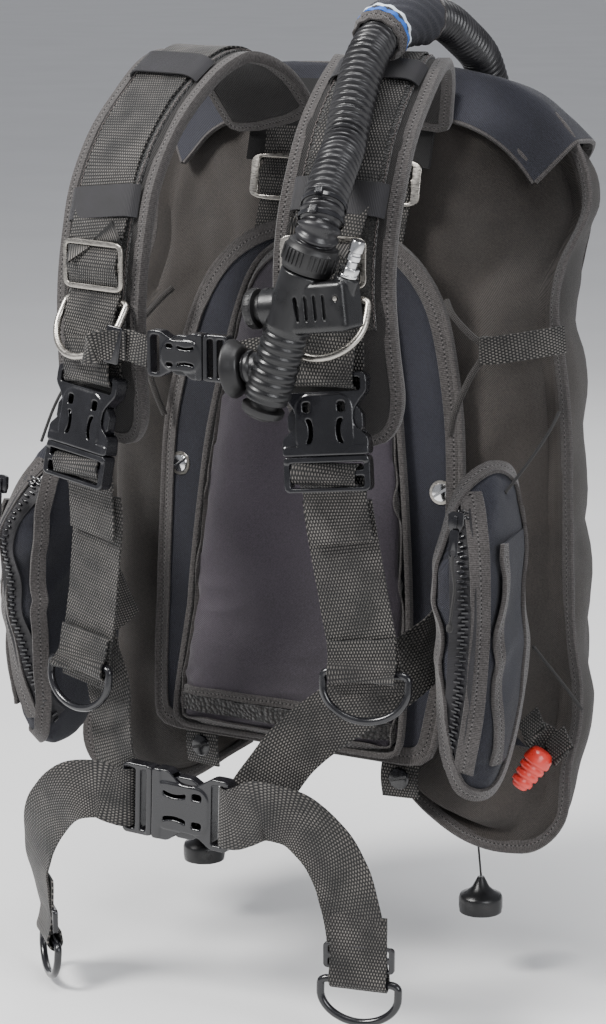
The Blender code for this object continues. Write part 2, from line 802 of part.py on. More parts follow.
def lower_at(side, x, y, z):
    """A place on a lower strap, whose ring end is the more uneven one."""
    share = min(1.0, max(0.0, -z / 0.12))
    return at(side * x, y, z + side * (STRAP_UNEVEN + (LOWER_UNEVEN - STRAP_UNEVEN) * share))


def lower_webbing(side):
    splay = across_at(side, STRAP_SPLAY)
    places = [(0.1010, -0.1840, 0.006), (0.1020, -0.1800, -0.014), (0.1100, -0.1760, -0.068)]
    places += [(0.1180, -0.1740, -0.112), (0.1205, -0.1720, -0.128), (0.1215, -0.1690, -0.140)]
    route = [(lower_at(side, *place), splay, 0) for place in places]
    ribbon("lower_webbing_" + side_name(side), route, WEB_WIDTH, WEB_THICK, web("lower"), spacing=0.008)


def lower_d_ring(side):
    face = (side * math.sin(STRAP_SPLAY), -math.cos(STRAP_SPLAY), 0)
    bar = lower_at(side, 0.1200, -0.1735, -0.122) + Vector(face) * (WEB_THICK / 2 + STEEL_WIRE + 0.0012)
    frame = frame_at("lower_d_ring_frame_" + side_name(side), bar, (0, 0, 1), face)
    half = WEB_WIDTH / 2 + STEEL_WIRE + 0.003
    points = d_ring_points(half, 0.034, -0.004)
    coat = plastic("lower_d_ring")
    tube("lower_d_ring_" + side_name(side), points, STEEL_WIRE, coat, cyclic=True, frame=frame)


def waist_buckle():
    frame = frame_at("waist_buckle_frame", at(*WAIST_MOUTH), WAIST_AXIS, (0, -1, 0))
    coat = plastic("waist_buckle")
    socket("waist_buckle_socket", frame, WAIST_HALF, BUCKLE_THICK, WAIST_SOCKET, BELT_WIDTH, coat)
    plug("waist_buckle_plug", frame, WAIST_HALF, BUCKLE_THICK, WAIST_PLUG, WAIST_PRONG, BELT_WIDTH, coat)


# The left belt runs from beside the lumbar to the socket, round its end bar and out again as the hanging tail
LEFT_BELT = [
    ((0.134, -0.090, -0.090), (0.00, 0.2, 1.0)),
    ((0.139, -0.122, -0.104), (-0.10, 0.2, 1.0)),
    ((0.122, -0.146, -0.124), (-0.35, 0.1, 1.0)),
    ((0.086, -0.158, -0.150), (-0.60, 0.0, 0.85)),
    ((0.056, -0.165, -0.177), (-0.70, 0.0, 0.70)),
    ((0.038, -0.1735, -0.204), (-0.45, 0.0, 0.90)),
    ((0.0255, -0.1798, -0.2235), (-0.10, 0.0, 1.0)),
    ((0.0150, -0.1812, -0.2282), (0.03, 0.0, 1.0)),
    ((0.0095, -0.1862, -0.2282), (0.03, 0.0, 1.0)),
    ((0.0095, -0.1938, -0.2282), (0.03, 0.0, 1.0)),
    ((0.0150, -0.1982, -0.2282), (0.03, 0.0, 1.0)),
    ((0.0240, -0.2005, -0.2270), (0.05, 0.0, 1.0)),
    ((0.034, -0.2025, -0.2225), (0.20, 0.0, 1.0)),
    ((0.052, -0.2040, -0.2150), (0.45, 0.0, 0.9)),
    ((0.080, -0.1990, -0.2210), (0.85, 0.1, 0.7)),
    ((0.105, -0.1950, -0.246), (1.00, 0.2, 0.3)),
    ((0.119, -0.1930, -0.284), (1.00, 0.2, 0.0)),
    ((0.1235, -0.1900, -0.328), (1.00, 0.2, -0.05)),
]
# The right belt stops behind the plug, which carries its own tail when it is drawn out
RIGHT_BELT = [
    ((-0.136, -0.090, -0.098), (0.00, 0.2, 1.0)),
    ((-0.139, -0.122, -0.116), (0.10, 0.2, 1.0)),
    ((-0.121, -0.148, -0.140), (0.45, 0.1, 0.9)),
    ((-0.107, -0.160, -0.162), (0.70, 0.0, 0.7)),
    ((-0.099, -0.170, -0.186), (0.60, 0.0, 0.8)),
    ((-0.0915, -0.1765, -0.208), (0.30, 0.0, 1.0)),
    ((-0.0820, -0.1785, -0.222), (0.05, 0.0, 1.0)),
]
RIGHT_TAIL = [
    ((-0.0800, -0.1820, -0.2256), (0.03, 0.0, 1.0)),
    ((-0.0716, -0.1820, -0.2258), (0.03, 0.0, 1.0)),
    ((-0.0666, -0.1862, -0.2259), (0.03, 0.0, 1.0)),
    ((-0.0666, -0.1938, -0.2259), (0.03, 0.0, 1.0)),
    ((-0.0716, -0.1982, -0.2258), (0.03, 0.0, 1.0)),
    ((-0.0800, -0.2002, -0.2245), (0.00, 0.0, 1.0)),
    ((-0.094, -0.2025, -0.2215), (-0.10, 0.0, 1.0)),
    ((-0.118, -0.2030, -0.228), (-0.50, 0.1, 0.8)),
    ((-0.143, -0.1960, -0.252), (-0.85, 0.2, 0.5)),
    ((-0.157, -0.1880, -0.284), (-0.85, 0.5, 0.2)),
    ((-0.157, -0.1820, -0.318), (-0.75, 0.65, 0.05)),
    ((-0.151, -0.1800, -0.346), (-0.72, 0.70, 0.0)),
]


def belt_place(place):
    """Places near the waist buckle keep their distance from it; further ones move with the overall sizes."""
    mouth = Vector(WAIST_MOUTH)
    away = (Vector(place) - mouth).length
    share = min(1.0, max(0.0, (away - WAIST_KEPT) / WAIST_BLEND))
    return (at(*mouth) + Vector(place) - mouth).lerp(at(*place), share)


def belt(name, route):
    placed = [(belt_place(place), across, 0.0) for place, across in route]
    ribbon(name, placed, BELT_WIDTH, WEB_THICK, web("waist"), spacing=0.0045)


def waist_belts():
    belt("waist_webbing_left", LEFT_BELT)
    belt("waist_webbing_right", RIGHT_BELT)
    belt("waist_tail_right", RIGHT_TAIL)


def waist_d_ring(side):
    place, across = (LEFT_BELT if side > 0 else RIGHT_TAIL)[-1]
    across = Vector(across)
    across.z = 0
    across.normalize()
    front = Vector((0, 0, -1)).cross(across) if side > 0 else Vector((0, 0, 1)).cross(across)
    bar = at(*place) + Vector((0, 0, -0.0065))
    frame = frame_at("waist_d_ring_frame_" + side_name(side), bar, (0, 0, 1), front)
    half = BELT_WIDTH / 2 + 0.007
    coat = plastic("waist_d_ring")
    points = d_ring_points(half, 0.030, -0.002)
    tube("waist_d_ring_" + side_name(side), points, STEEL_WIRE, coat, cyclic=True, frame=frame)


# ---------------------------------------------------------------- sternum strap


def sternum_strap():
    frame = frame_at("sternum_buckle_frame", at(*STERNUM_MOUTH), (-1, 0, 0), (0, -1, 0))
    coat = plastic("sternum_buckle")
    socket("sternum_buckle_socket", frame, STERNUM_HALF, STERNUM_THICK, STERNUM_SOCKET, SMALL_WEB_WIDTH, coat)
    plug(
        "sternum_buckle_plug",
        frame,
        STERNUM_HALF,
        STERNUM_THICK,
        STERNUM_PLUG,
        STERNUM_PRONG,
        SMALL_WEB_WIDTH,
        coat,
    )
    socket_end = at(*STERNUM_MOUTH) + Vector((-STERNUM_SOCKET - 0.0016, 0, 0))
    right = [
        (socket_end, (0, 0, 1), 0),
        (socket_end + Vector((-0.008, 0.0002, 0.001)), (0, 0, 1), 0),
        (at(-0.054, -0.2080, 0.113), (0.1, 0, 1), 0),
        (at(-0.0645, -0.2090, 0.1135), (0.2, 0, 1), 0),
    ]
    ribbon("sternum_webbing_right", right, SMALL_WEB_WIDTH * 0.9, WEB_THICK, web("sternum"), spacing=0.006)
    plug_end = at(*STERNUM_MOUTH) + Vector((STERNUM_PLUG, STERNUM_THICK / 2 + 0.004, 0))
    left = [
        (plug_end + Vector((0.002, 0, 0)), (0, 0, 1), 0),
        (at(0.042, -0.1995, 0.113), (0, 0, 1), 0),
        (at(0.050, -0.1995, 0.1145), (0, 0, 1), 0),
        (at(0.0585, -0.1995, 0.116), (0, 0, 1), 0),
    ]
    ribbon("sternum_webbing_left", left, SMALL_WEB_WIDTH * 0.9, WEB_THICK, web("sternum"), spacing=0.006)


# ---------------------------------------------------------------- neck


def neck():
    """The wide webbing that carries the harness behind the neck, and its steel slide."""
    wide = (1.0, 0.0, 0.0)
    width = 0.128
    places = [(-0.0228, 0.146), (-0.0200, 0.172), (-0.0131, 0.1975), (-0.0124, 0.2015), (-0.0110, 0.2085)]
    places += [(-0.0096, 0.216), (-0.0082, 0.2235), (-0.0068, 0.2305), (-0.0061, 0.2345), (0.0, 0.254)]
    over = SLIDE_THICK / 2 + WEB_THICK / 2 + 0.0008
    lifts = [0, 0, -over, -over, 0, over, 0, -over, -over, 0]
    route = [(at(0, y, z), wide, -lift) for (y, z), lift in zip(places, lifts)]
    ribbon("neck_webbing", route, width, WEB_THICK, web("neck"), spacing=0.004)
    frame = frame_at("neck_slide_frame", at(0, -0.0096, 0.216), (0, 0.187, 1), (0, -1, 0))
    edge = rounded(width / 2 + 0.009, 0.0185, 0.006, steps=3)
    half = width / 2 + 0.0015
    slots = [rounded(half, 0.0060, 0.002, steps=2, centre=(0, sign * 0.0087)) for sign in (1, -1)]
    plate("neck_slide", [edge, *slots], SLIDE_THICK, steel("neck_slide"), frame)


# ---------------------------------------------------------------- hose and inflator

HOSE_ROUTE = [
    (0.1150, -0.2260, 0.2260),
    (0.1100, -0.2045, 0.2430),
    (0.1030, -0.1785, 0.2590),
    (0.0970, -0.1560, 0.2845),
    (0.0895, -0.1210, 0.3160),
    (0.0840, -0.0760, 0.3350),
    (0.0810, -0.0230, 0.3385),
    (0.0800, 0.0120, 0.3340),
    (0.0785, 0.0440, 0.3220),
    (0.0770, 0.0760, 0.3060),
    (0.0760, 0.0935, 0.2870),
    (0.0760, 0.0975, 0.2700),
]


def hose_run():
    """The hose leaves the collar along the inflator's axis and reaches the elbow pointing down."""
    end = at(*HOSE_END)
    rear = at(*HOSE_ROUTE[-1])
    places = [end, end - INFLATOR_AXIS * 0.012, *(at(*place) for place in HOSE_ROUTE[:-1])]
    run = spline([*places, rear + Vector((0, 0, 0.008)), rear], spacing=0.011)
    run[1] = end - INFLATOR_AXIS * 0.011
    run[-2] = rear + Vector((0, 0, 0.010))
    return run


def hose():
    run = hose_run()
    tube("inflator_hose", run, HOSE_RADIUS, plastic("hose"), resolution=3)
    first = len(run) * 50 // 100
    wrapped = run[first : first + 7]
    rows = []
    for index, place in enumerate(wrapped):
        along = wrapped[min(index + 1, 6)] - wrapped[max(index - 1, 0)]
        along = along / np.linalg.norm(along)
        side = np.cross(along, (0, 0, 1.0))
        side = side / np.linalg.norm(side)
        up = np.cross(side, along)
        radius = HOSE_RADIUS + WRAP_GAP
        turns = np.linspace(-math.pi / 2 + 0.05, 1.5 * math.pi - 0.05, 23)
        rows.append([place + radius * (math.cos(turn) * side + math.sin(turn) * up) for turn in turns])
    sheet("hose_wrap", rows, 0.0025, cloth("hose_wrap"), offset=-1.0)


def hose_elbow():
    """A moulded bend from the hose's rear end to a round flange on the wing's cap."""
    top = at(*HOSE_ROUTE[-1]) - Vector((0, 0, 0.0008))
    pivot = top - Vector((0, ELBOW_BEND, 0))
    stations = []
    for turn in np.linspace(0, math.pi / 2, 5):
        centre = pivot + Vector((0, math.cos(turn), -math.sin(turn))) * ELBOW_BEND
        stations.append((centre, Vector((0, math.sin(turn), math.cos(turn))), ELBOW_RADIUS))
    flange = stations[-1][0]
    stations.append((flange - Vector((0, 0.0004, 0)), Vector((0, 1, 0)), ELBOW_RADIUS + 0.007))
    stations.append((flange - Vector((0, 0.0058, 0)), Vector((0, 1, 0)), ELBOW_RADIUS + 0.007))
    rings = []
    for centre, axis, radius in stations:
        second = Vector((1, 0, 0)).cross(axis)
        turns = [2 * math.pi * step / 18 for step in range(18)]
        first = Vector((1, 0, 0))
        rings.append([centre + (first * math.cos(t) + second * math.sin(t)) * radius for t in turns])
    ring_loft("hose_elbow", rings, plastic("elbow"))


def inflator_frame():
    return frame_at("inflator_frame", at(*HOSE_END), -INFLATOR_AXIS, (0, -1, 0))


def collar_nut(frame):
    """A turned nut with a ring of grip ribs."""
    inner = HOSE_RADIUS + 0.0022
    profile = [(0, -CLEARANCE), (inner, -CLEARANCE), (inner + 0.0015, -0.003)]
    profile += [(inner + 0.0015, -0.016), (inner, -COLLAR_LENGTH), (0, -COLLAR_LENGTH)]
    turned("collar_nut", profile, plastic("collar"), frame, steps=28)


def inflator_body(frame, head, mouth):
    """The barrel, the side block with its coupling port, and the boss of the inflate button."""
    coat = plastic("inflator")
    top = -COLLAR_LENGTH - CLEARANCE
    bottom = top - BARREL_LENGTH
    made = turned(
        "inflator_body",
        [
            (0, top),
            (INFLATOR_RADIUS + 0.0005, top),
            (INFLATOR_RADIUS + 0.001, top - 0.042),
            (INFLATOR_RADIUS - 0.001, top - 0.046),
            (INFLATOR_RADIUS - 0.001, bottom),
            (0, bottom),
        ],
        coat,
        frame,
    )
    block = box("inflator_block", (0.044, 0.027, 0.034), (0.023, 0, -0.002), coat, head, True, bevel=0.004)
    boss = rod("inflate_boss", 0.0135, 0.022, (-0.012, 0, 0), coat, head, True, turn=(0, math.pi / 2, 0))
    port_length = -MOUTH_FACE - 0.004
    port_centre = (-0.004 - port_length / 2, 0, 0)
    level = (0, math.pi / 2, 0)
    port = rod("mouthpiece_port", 0.0105, port_length, port_centre, coat, mouth, True, turn=level)
    saddle = rod("coupling_saddle", 0.0085, 0.020, (COUPLING_X, 0, top - 0.002), coat, frame, True)
    for piece in (block, boss, port, saddle):
        add(made, piece)
    depth = 0.0120
    centre = (BOSS_FACE + depth / 2 - 0.001, 0, 0)
    bore = rod("inflate_bore", BUTTON_STEM + FIT, depth, centre, coat, head, True, turn=(0, math.pi / 2, 0))
    cut(made, bore)
    cut(made, rod("exhaust_bore", BUTTON_STEM + FIT, 0.014, (0, 0, bottom + 0.0065), coat, frame, True))
    mouth_centre = (MOUTH_FACE + 0.0075, 0, 0)
    cut(made, rod("mouth_bore", 0.0065, 0.017, mouth_centre, coat, mouth, True, turn=(0, math.pi / 2, 0)))
    return bottom


def inflator_fittings(frame, head, mouth, bottom):
    stem = 0.0070
    turned(
        "inflate_button",
        [
            (0, 0.0075),
            (0.0125, 0.0075),
            (0.0140, 0.0060),
            (0.0140, 0),
            (BUTTON_STEM, 0),
            (BUTTON_STEM, -stem),
            (0, -stem),
        ],
        plastic("inflate_button"),
        head,
        centre=(BOSS_FACE - BUTTON_TRAVEL - 0.0004, 0, 0),
        turn=(0, -math.pi / 2, 0),
    )
    turned(
        "exhaust_button",
        [
            (0, 0.0065 + BUTTON_TRAVEL),
            (BUTTON_STEM, 0.0065 + BUTTON_TRAVEL),
            (BUTTON_STEM, 0),
            (0.0150, 0),
            (0.0150, -0.0050),
            (0.0120, -0.0075),
            (0, -0.0080),
        ],
        plastic("exhaust_button"),
        frame,
        centre=(0, 0, bottom - BUTTON_TRAVEL - 0.0004),
    )
    face = MOUTH_FACE - CLEARANCE
    ring = [(0.0065, face), (0.0085, face - 0.0045), (0.0170, face - 0.0110), (0.0195, face - 0.0110)]
    ring += [(0.0205, face - 0.0095), (0.0160, face - 0.0035), (0.0135, face), (0.0065, face)]
    turned(
        "mouthpiece",
        [(radius, -x) for radius, x in ring],
        plastic("mouthpiece"),
        mouth,
        turn=(0, -math.pi / 2, 0),
    )
    turned(
        "hose_coupling",
        [
            (0, 0.026),
            (0.0042, 0.026),
            (0.0050, 0.024),
            (0.0050, 0.012),
            (0.0042, 0.011),
            (0.0042, 0.008),
            (0.0060, 0.007),
            (0.0060, 0.003),
            (0.0068, 0.002),
            (0.0068, 0),
            (0, 0),
        ],
        steel("hose_coupling"),
        frame,
        centre=(COUPLING_X, 0, bottom + BARREL_LENGTH + 0.008 + CLEARANCE),
        steps=16,
    )


def tilted(name, frame, height):
    """An empty on the inflator's axis whose X lies level."""
    made = bpy.data.objects.new(name, None)
    parts.objects.link(made)
    made.parent = frame
    made.location = (0, 0, height)
    made.rotation_euler = (0, HEAD_TILT, 0)
    return made


def inflator():
    frame = inflator_frame()
    collar_nut(frame)
    top = -COLLAR_LENGTH - CLEARANCE
    head = tilted("inflator_head_frame", frame, top - 0.025)
    mouth = tilted("mouthpiece_frame", frame, top - BARREL_LENGTH + 0.0250)
    bottom = inflator_body(frame, head, mouth)
    inflator_fittings(frame, head, mouth, bottom)


# ---------------------------------------------------------------- pockets, zips and pulls


def pocket(side):
    """A soft pillow from a coarse cage."""
    bm = bmesh.new()
    bmesh.ops.create_cube(bm, size=1.0)
    bmesh.ops.scale(bm, vec=POCKET_SIZE, verts=bm.verts)
    bmesh.ops.subdivide_edges(bm, edges=bm.edges[:], cuts=2, use_grid_fill=True)
    made = from_bmesh("pocket_" + side_name(side), bm, navy("pocket"))
    made.location = at(side * POCKET_CENTRE[0], POCKET_CENTRE[1], POCKET_CENTRE[2] + side * POCKET_UNEVEN)
    made.rotation_euler = (math.radians(6), 0, side * math.radians(10))
    soft = made.modifiers.new("soft", "SUBSURF")
    soft.levels = soft.render_levels = 1


def zip_slider(side):
    """The slider runs down the zip on the pocket's front edge."""
    top = at(side * 0.190, -0.1765, 0.000 + side * POCKET_UNEVEN)
    bar = frame_at("zip_slider_frame_" + side_name(side), top, (0, 0.10, 1), (side * 0.2, -1, 0))
    size = (0.011, 0.0045, 0.014)
    made = box("zip_slider_" + side_name(side), size, (0, 0, 0), plastic("zip"), bar, bevel=0.001)
    tab = box("zip_tab_" + side_name(side), (0.006, 0.002, 0.024), (0, -0.0028, -0.012), None, bar, True)
    add(made, tab)


def dump_valve(side):
    """The lower dump valve on the rear cloth, with its cover."""
    base = rear_place(12, side, math.pi * 0.52)
    seat = base + Vector((0, 0.004, -0.002))
    frame = frame_at("dump_valve_frame_" + side_name(side), seat, (0, 1, -0.28), (0, 0, 1))
    turned(
        "dump_valve_" + side_name(side),
        [(0, 0.014), (0.020, 0.014), (0.024, 0.010), (0.026, 0.002), (0.026, 0.0), (0, 0.0)],
        plastic("dump_valve"),
        frame,
        steps=24,
    )


def dump_pull(side):
    name = side_name(side)
    place = at(side * KNOB_X, 0, KNOB_HEIGHT)
    frame = frame_at("dump_knob_frame_" + name, place, (0, 0, 1), (0, -1, 0))
    turned(
        "dump_knob_" + name,
        [(0, 0.018), (0.003, 0.018), (0.0065, 0.010), (0.016, 0.004), (0.017, 0.002)]
        + [(0.017, -0.009), (0.014, -0.011), (0, -0.011)],
        plastic("dump_knob"),
        frame,
        steps=24,
    )
    low = place + Vector((0, 0, 0.018 + CLEARANCE))
    high = at(side * KNOB_X, PULL_CORD_Y, PULL_CORD_TOP)
    run = [low.lerp(high, t) for t in np.linspace(0, 1, 12)]
    tube("dump_cord_" + name, run, 0.0008, plastic("dump_cord"), resolution=2)


def release_grip():
    """The ribbed red pull of the weight release, on the left side."""
    frame = frame_at("release_grip_frame", at(0.205, -0.066, -0.186), (0.45, 0.30, 0.80), (0.4, -1, 0))
    profile = [(0, 0.004), (0.007, 0.004), (0.0095, 0.0)]
    for step in range(4):
        z = -0.004 - 0.006 * step
        radius = 0.0105 - 0.0008 * step
        inner = radius - 0.002
        profile += [(radius, z), (radius, z - 0.003), (inner, z - 0.0035), (inner, z - 0.0055)]
    profile += [(0.005, -0.029), (0, -0.030)]
    turned("release_grip", profile, material("release_grip_rubber", RED, 0.45), frame, steps=20)


# ---------------------------------------------------------------- tank bands


def band_point(turn):
    """A closed line round the tank that dips into the cradle at the front; turn 0 faces -Y."""
    radius = TANK_RADIUS + BAND_THICK / 2 + 0.0008
    centre = TANK_RADIUS
    x = radius * math.sin(turn)
    y = centre - radius * math.cos(turn)
    dip = max(0.0, math.cos(turn) - math.cos(math.radians(38))) / (1 - math.cos(math.radians(38)))
    share = min(1.0, 2.2 * dip)
    share = share * share * (3 - 2 * share)
    return x, y + (BAND_LINE - y) * share


def tank_band(level):
    z = BAND_HEIGHTS[level]
    bm = bmesh.new()
    bmesh.ops.create_cone(bm, cap_ends=False, segments=72, radius1=1, radius2=1, depth=BAND_WIDTH)
    for vertex in bm.verts:
        x, y = band_point(math.atan2(vertex.co.x, -vertex.co.y))
        vertex.co = (x, y, z + vertex.co.z)
    data = bpy.data.meshes.new("tank_band_" + level)
    bm.to_mesh(data)
    bm.free()
    made = link("tank_band_" + level, data, web("tank_band"))
    wall = made.modifiers.new("wall", "SOLIDIFY")
    wall.thickness = BAND_THICK
    wall.offset = 0.0


def cam_lever(level):
    """The over-centre lever lies on the band at the rear; it swings on its short edge."""
    turn = math.radians(150)
    x, y = band_point(turn)
    outward = Vector((math.sin(turn), -math.cos(turn), 0))
    along = Vector((-math.cos(turn), -math.sin(turn), 0))
    hinge = Vector((x, y, BAND_HEIGHTS[level])) + outward * (BAND_THICK / 2 + 0.0060)
    frame = frame_at("cam_lever_frame_" + level, hinge, (0, 0, 1), outward)
    coat = plastic("cam_lever")
    made = rod("cam_lever_" + level, 0.0050, BAND_WIDTH + 0.010, (0, 0, 0), coat, frame, sides=20)
    sign = 1 if frame.matrix_world.to_3x3().col[0].dot(along) > 0 else -1
    arm_size = (0.062, 0.0045, BAND_WIDTH + 0.004)
    lean = math.radians(12)
    centre = (sign * 0.0305 * math.cos(lean), 0.0305 * math.sin(lean), 0)
    arm = box("cam_arm_" + level, arm_size, centre, coat, frame, True, turn=(0, 0, sign * lean))
    add(made, arm)


def build():
    start()
    back_plate()
    torso_padding()
    wing()
    neck()
    for side in (1, -1):
        shoulder_pad(side)
        shoulder_webbing(side)
        strap_slide(side)
        shoulder_d_ring(side)
        shoulder_buckle(side)
        lower_webbing(side)
        lower_d_ring(side)
        waist_d_ring(side)
        pocket(side)
        zip_slider(side)
        dump_valve(side)
        dump_pull(side)
    waist_belts()
    waist_buckle()
    sternum_strap()
    hose()
    hose_elbow()
    inflator()
    release_grip()
    for level in BAND_HEIGHTS:
        tank_band(level)
        cam_lever(level)


build()
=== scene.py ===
"""A buoyancy compensator vest: cloth, webbing, moulded and steel pieces laid round its packed frame."""

import math

import bmesh
import bpy
import numpy as np
from bpy.props import FloatProperty, PointerProperty, StringProperty
from mathutils import Matrix, Vector, noise
from mathutils.bvhtree import BVHTree


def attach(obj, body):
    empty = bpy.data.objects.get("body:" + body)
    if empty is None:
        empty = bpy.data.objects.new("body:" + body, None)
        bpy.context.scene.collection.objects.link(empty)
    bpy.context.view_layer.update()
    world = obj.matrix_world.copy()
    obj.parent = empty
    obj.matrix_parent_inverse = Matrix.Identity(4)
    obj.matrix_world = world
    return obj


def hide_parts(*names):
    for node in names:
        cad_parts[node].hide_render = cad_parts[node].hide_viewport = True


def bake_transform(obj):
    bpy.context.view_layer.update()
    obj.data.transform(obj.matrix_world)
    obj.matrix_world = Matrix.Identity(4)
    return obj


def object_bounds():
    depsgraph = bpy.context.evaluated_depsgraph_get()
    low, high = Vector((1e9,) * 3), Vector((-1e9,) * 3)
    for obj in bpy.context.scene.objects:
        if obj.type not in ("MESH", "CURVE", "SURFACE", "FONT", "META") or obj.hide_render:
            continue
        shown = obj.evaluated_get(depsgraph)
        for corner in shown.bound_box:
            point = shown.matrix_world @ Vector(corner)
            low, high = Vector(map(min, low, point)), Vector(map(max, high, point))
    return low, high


bl_info = {
    "name": "Buoyancy vest",
    "version": (1, 0, 0),
    "blender": (4, 5, 0),
    "location": "View3D > Sidebar > Vest",
    "description": "Builds a buoyancy compensator vest round its CAD frame",
    "category": "Object",
}

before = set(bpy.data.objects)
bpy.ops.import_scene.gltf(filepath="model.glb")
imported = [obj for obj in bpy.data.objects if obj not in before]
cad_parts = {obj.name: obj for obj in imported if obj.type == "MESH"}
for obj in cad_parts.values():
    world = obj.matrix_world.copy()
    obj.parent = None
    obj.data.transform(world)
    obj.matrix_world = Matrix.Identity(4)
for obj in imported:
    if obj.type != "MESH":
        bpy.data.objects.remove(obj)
CAD_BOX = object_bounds()

HARNESS = "harness"
MM = 0.001
finishes = {}


# ---------------------------------------------------------------- selection, edit mode and modifiers


def clear():
    if bpy.context.object is not None and bpy.context.object.mode != "OBJECT":
        bpy.ops.object.mode_set(mode="OBJECT")
    bpy.ops.object.select_all(action="DESELECT")


def only(piece):
    clear()
    piece.select_set(True)
    bpy.context.view_layer.objects.active = piece


def settle(piece):
    """Moves the object's place and turn into its mesh."""
    only(piece)
    bpy.ops.object.transform_apply(location=True, rotation=True, scale=True)
    return piece


def modified(piece, kind, **settings):
    only(piece)
    step = piece.modifiers.new(kind.lower(), kind)
    for key, value in settings.items():
        setattr(step, key, value)
    bpy.ops.object.modifier_apply(modifier=step.name)
    return piece


def bevelled(piece, width, segments=3):
    limit = math.radians(40)
    return modified(piece, "BEVEL", width=width, segments=segments, limit_method="ANGLE", angle_limit=limit)


def smooth(piece, angle=40):
    only(piece)
    bpy.ops.object.shade_smooth_by_angle(angle=math.radians(angle))
    return piece


def in_edit(piece, work, everything=True):
    """Runs work() in edit mode, with all of the piece selected or none of it."""
    only(piece)
    bpy.ops.object.mode_set(mode="EDIT")
    bpy.ops.mesh.select_all(action="SELECT" if everything else "DESELECT")
    work()
    bpy.ops.object.mode_set(mode="OBJECT")
    return piece


def mended(piece, distance=0.00002):
    """Doubles merged and faces turned outwards."""

    def work():
        bpy.ops.mesh.remove_doubles(threshold=distance)
        bpy.ops.mesh.normals_make_consistent(inside=False)

    return in_edit(piece, work)


def joined(pieces, name):
    only(pieces[0])
    for other in pieces[1:]:
        other.select_set(True)
    if len(pieces) > 1:
        bpy.ops.object.join()
    pieces[0].name = pieces[0].data.name = name
    return pieces[0]


def placed(piece, matrix):
    piece.data.transform(matrix)
    piece.data.update()
    return piece


def copy_of(piece, name, matrix=Matrix()):
    made = piece.copy()
    made.data = piece.data.copy()
    made.name = made.data.name = name
    bpy.context.scene.collection.objects.link(made)
    made.data.transform(matrix)
    if matrix.determinant() < 0:
        made.data.flip_normals()
    return made


def kept(piece, finish, body=HARNESS, nodes=()):
    """The finished piece gets its material, its body (none if it is blended) and the CAD nodes that it stands for."""
    piece.data.materials.clear()
    piece.data.materials.append(finishes[finish])
    if body:
        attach(piece, body)
    if nodes:
        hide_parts(*nodes)
    return piece


def frame_at(origin, up, front):
    """A place whose Z runs along up and whose -Y looks along front."""
    z = Vector(up).normalized()
    y = -Vector(front)
    y = (y - z * y.dot(z)).normalized()
    return Matrix.Translation(Vector(origin)) @ Matrix((y.cross(z), y, z)).transposed().to_4x4()


# ---------------------------------------------------------------- primitives, shaped by hand


def disc(radius, sides=48):
    bpy.ops.mesh.primitive_circle_add(vertices=sides, radius=radius, fill_type="NGON")
    return bpy.context.object


def turned(name, profile, sides=48):
    """A closed body of revolution about Z: a disc is drawn up through (radius, height) points."""
    clear()
    piece = disc(profile[0][0], sides)
    piece.name = piece.data.name = name
    only(piece)
    bpy.ops.object.mode_set(mode="EDIT")
    bpy.ops.mesh.select_all(action="SELECT")
    centre = Vector((0, 0, profile[0][1]))
    bpy.ops.transform.translate(value=centre)
    for (radius, height), (after, above) in zip(profile, profile[1:]):
        bpy.ops.mesh.extrude_region_move(TRANSFORM_OT_translate={"value": (0, 0, above - height)})
        ratio = after / radius
        bpy.ops.transform.resize(value=(ratio, ratio, 1), center_override=(0, 0, above))
    bpy.ops.object.mode_set(mode="OBJECT")
    return mended(piece)


def block(name, size, centre=(0, 0, 0), bevel=0.0, segments=3, turn=None):
    clear()
    bpy.ops.mesh.primitive_cube_add(size=1, location=(0, 0, 0))
    piece = bpy.context.object
    piece.name = piece.data.name = name
    piece.scale = size
    settle(piece)
    if bevel:
        in_edit(piece, lambda: bpy.ops.mesh.bevel(offset=bevel, segments=segments, affect="EDGES"))
    piece.location = centre
    if turn is not None:
        piece.rotation_euler = turn
    return settle(piece)


# Turns a bar from Z to X
LYING = (0, math.pi / 2, 0)


def round_bar(name, radius, length, centre=(0, 0, 0), turn=None, bevel=0.0, sides=32):
    clear()
    bpy.ops.mesh.primitive_cylinder_add(vertices=sides, radius=radius, depth=length, location=(0, 0, 0))
    piece = bpy.context.object
    piece.name = piece.data.name = name
    if bevel:
        bevelled(piece, bevel)
    piece.location = centre
    if turn is not None:
        piece.rotation_euler = turn
    return settle(piece)


def slab(name, outline, depth, centre=0.0):
    """An outline in the XZ plane, drawn out along Y by its depth."""
    clear()
    piece = disc(0.01, len(outline))
    piece.name = piece.data.name = name
    for vertex, (x, z) in zip(piece.data.vertices, outline):
        vertex.co = (x, centre - depth / 2, z)
    in_edit(piece, lambda: bpy.ops.mesh.extrude_region_move(TRANSFORM_OT_translate={"value": (0, depth, 0)}))
    return mended(piece)


def carved(piece, cutters):
    cutter = joined(cutters, piece.name + "_cutter")
    modified(piece, "BOOLEAN", operation="DIFFERENCE", solver="EXACT", use_self=True, object=cutter)
    bpy.data.objects.remove(cutter)
    return piece


def moulded(name, solids, cutters=(), voxel=0.0006, rounds=5):
    """Closed solids run together, cut, and softened at every edge as an injection moulding is."""
    piece = joined(solids, name)
    if cutters:
        carved(piece, list(cutters))
    modified(piece, "REMESH", mode="VOXEL", voxel_size=voxel, adaptivity=0.0)
    modified(piece, "SMOOTH", factor=0.5, iterations=rounds)
    only(piece)
    bpy.ops.object.shade_smooth()
    return piece


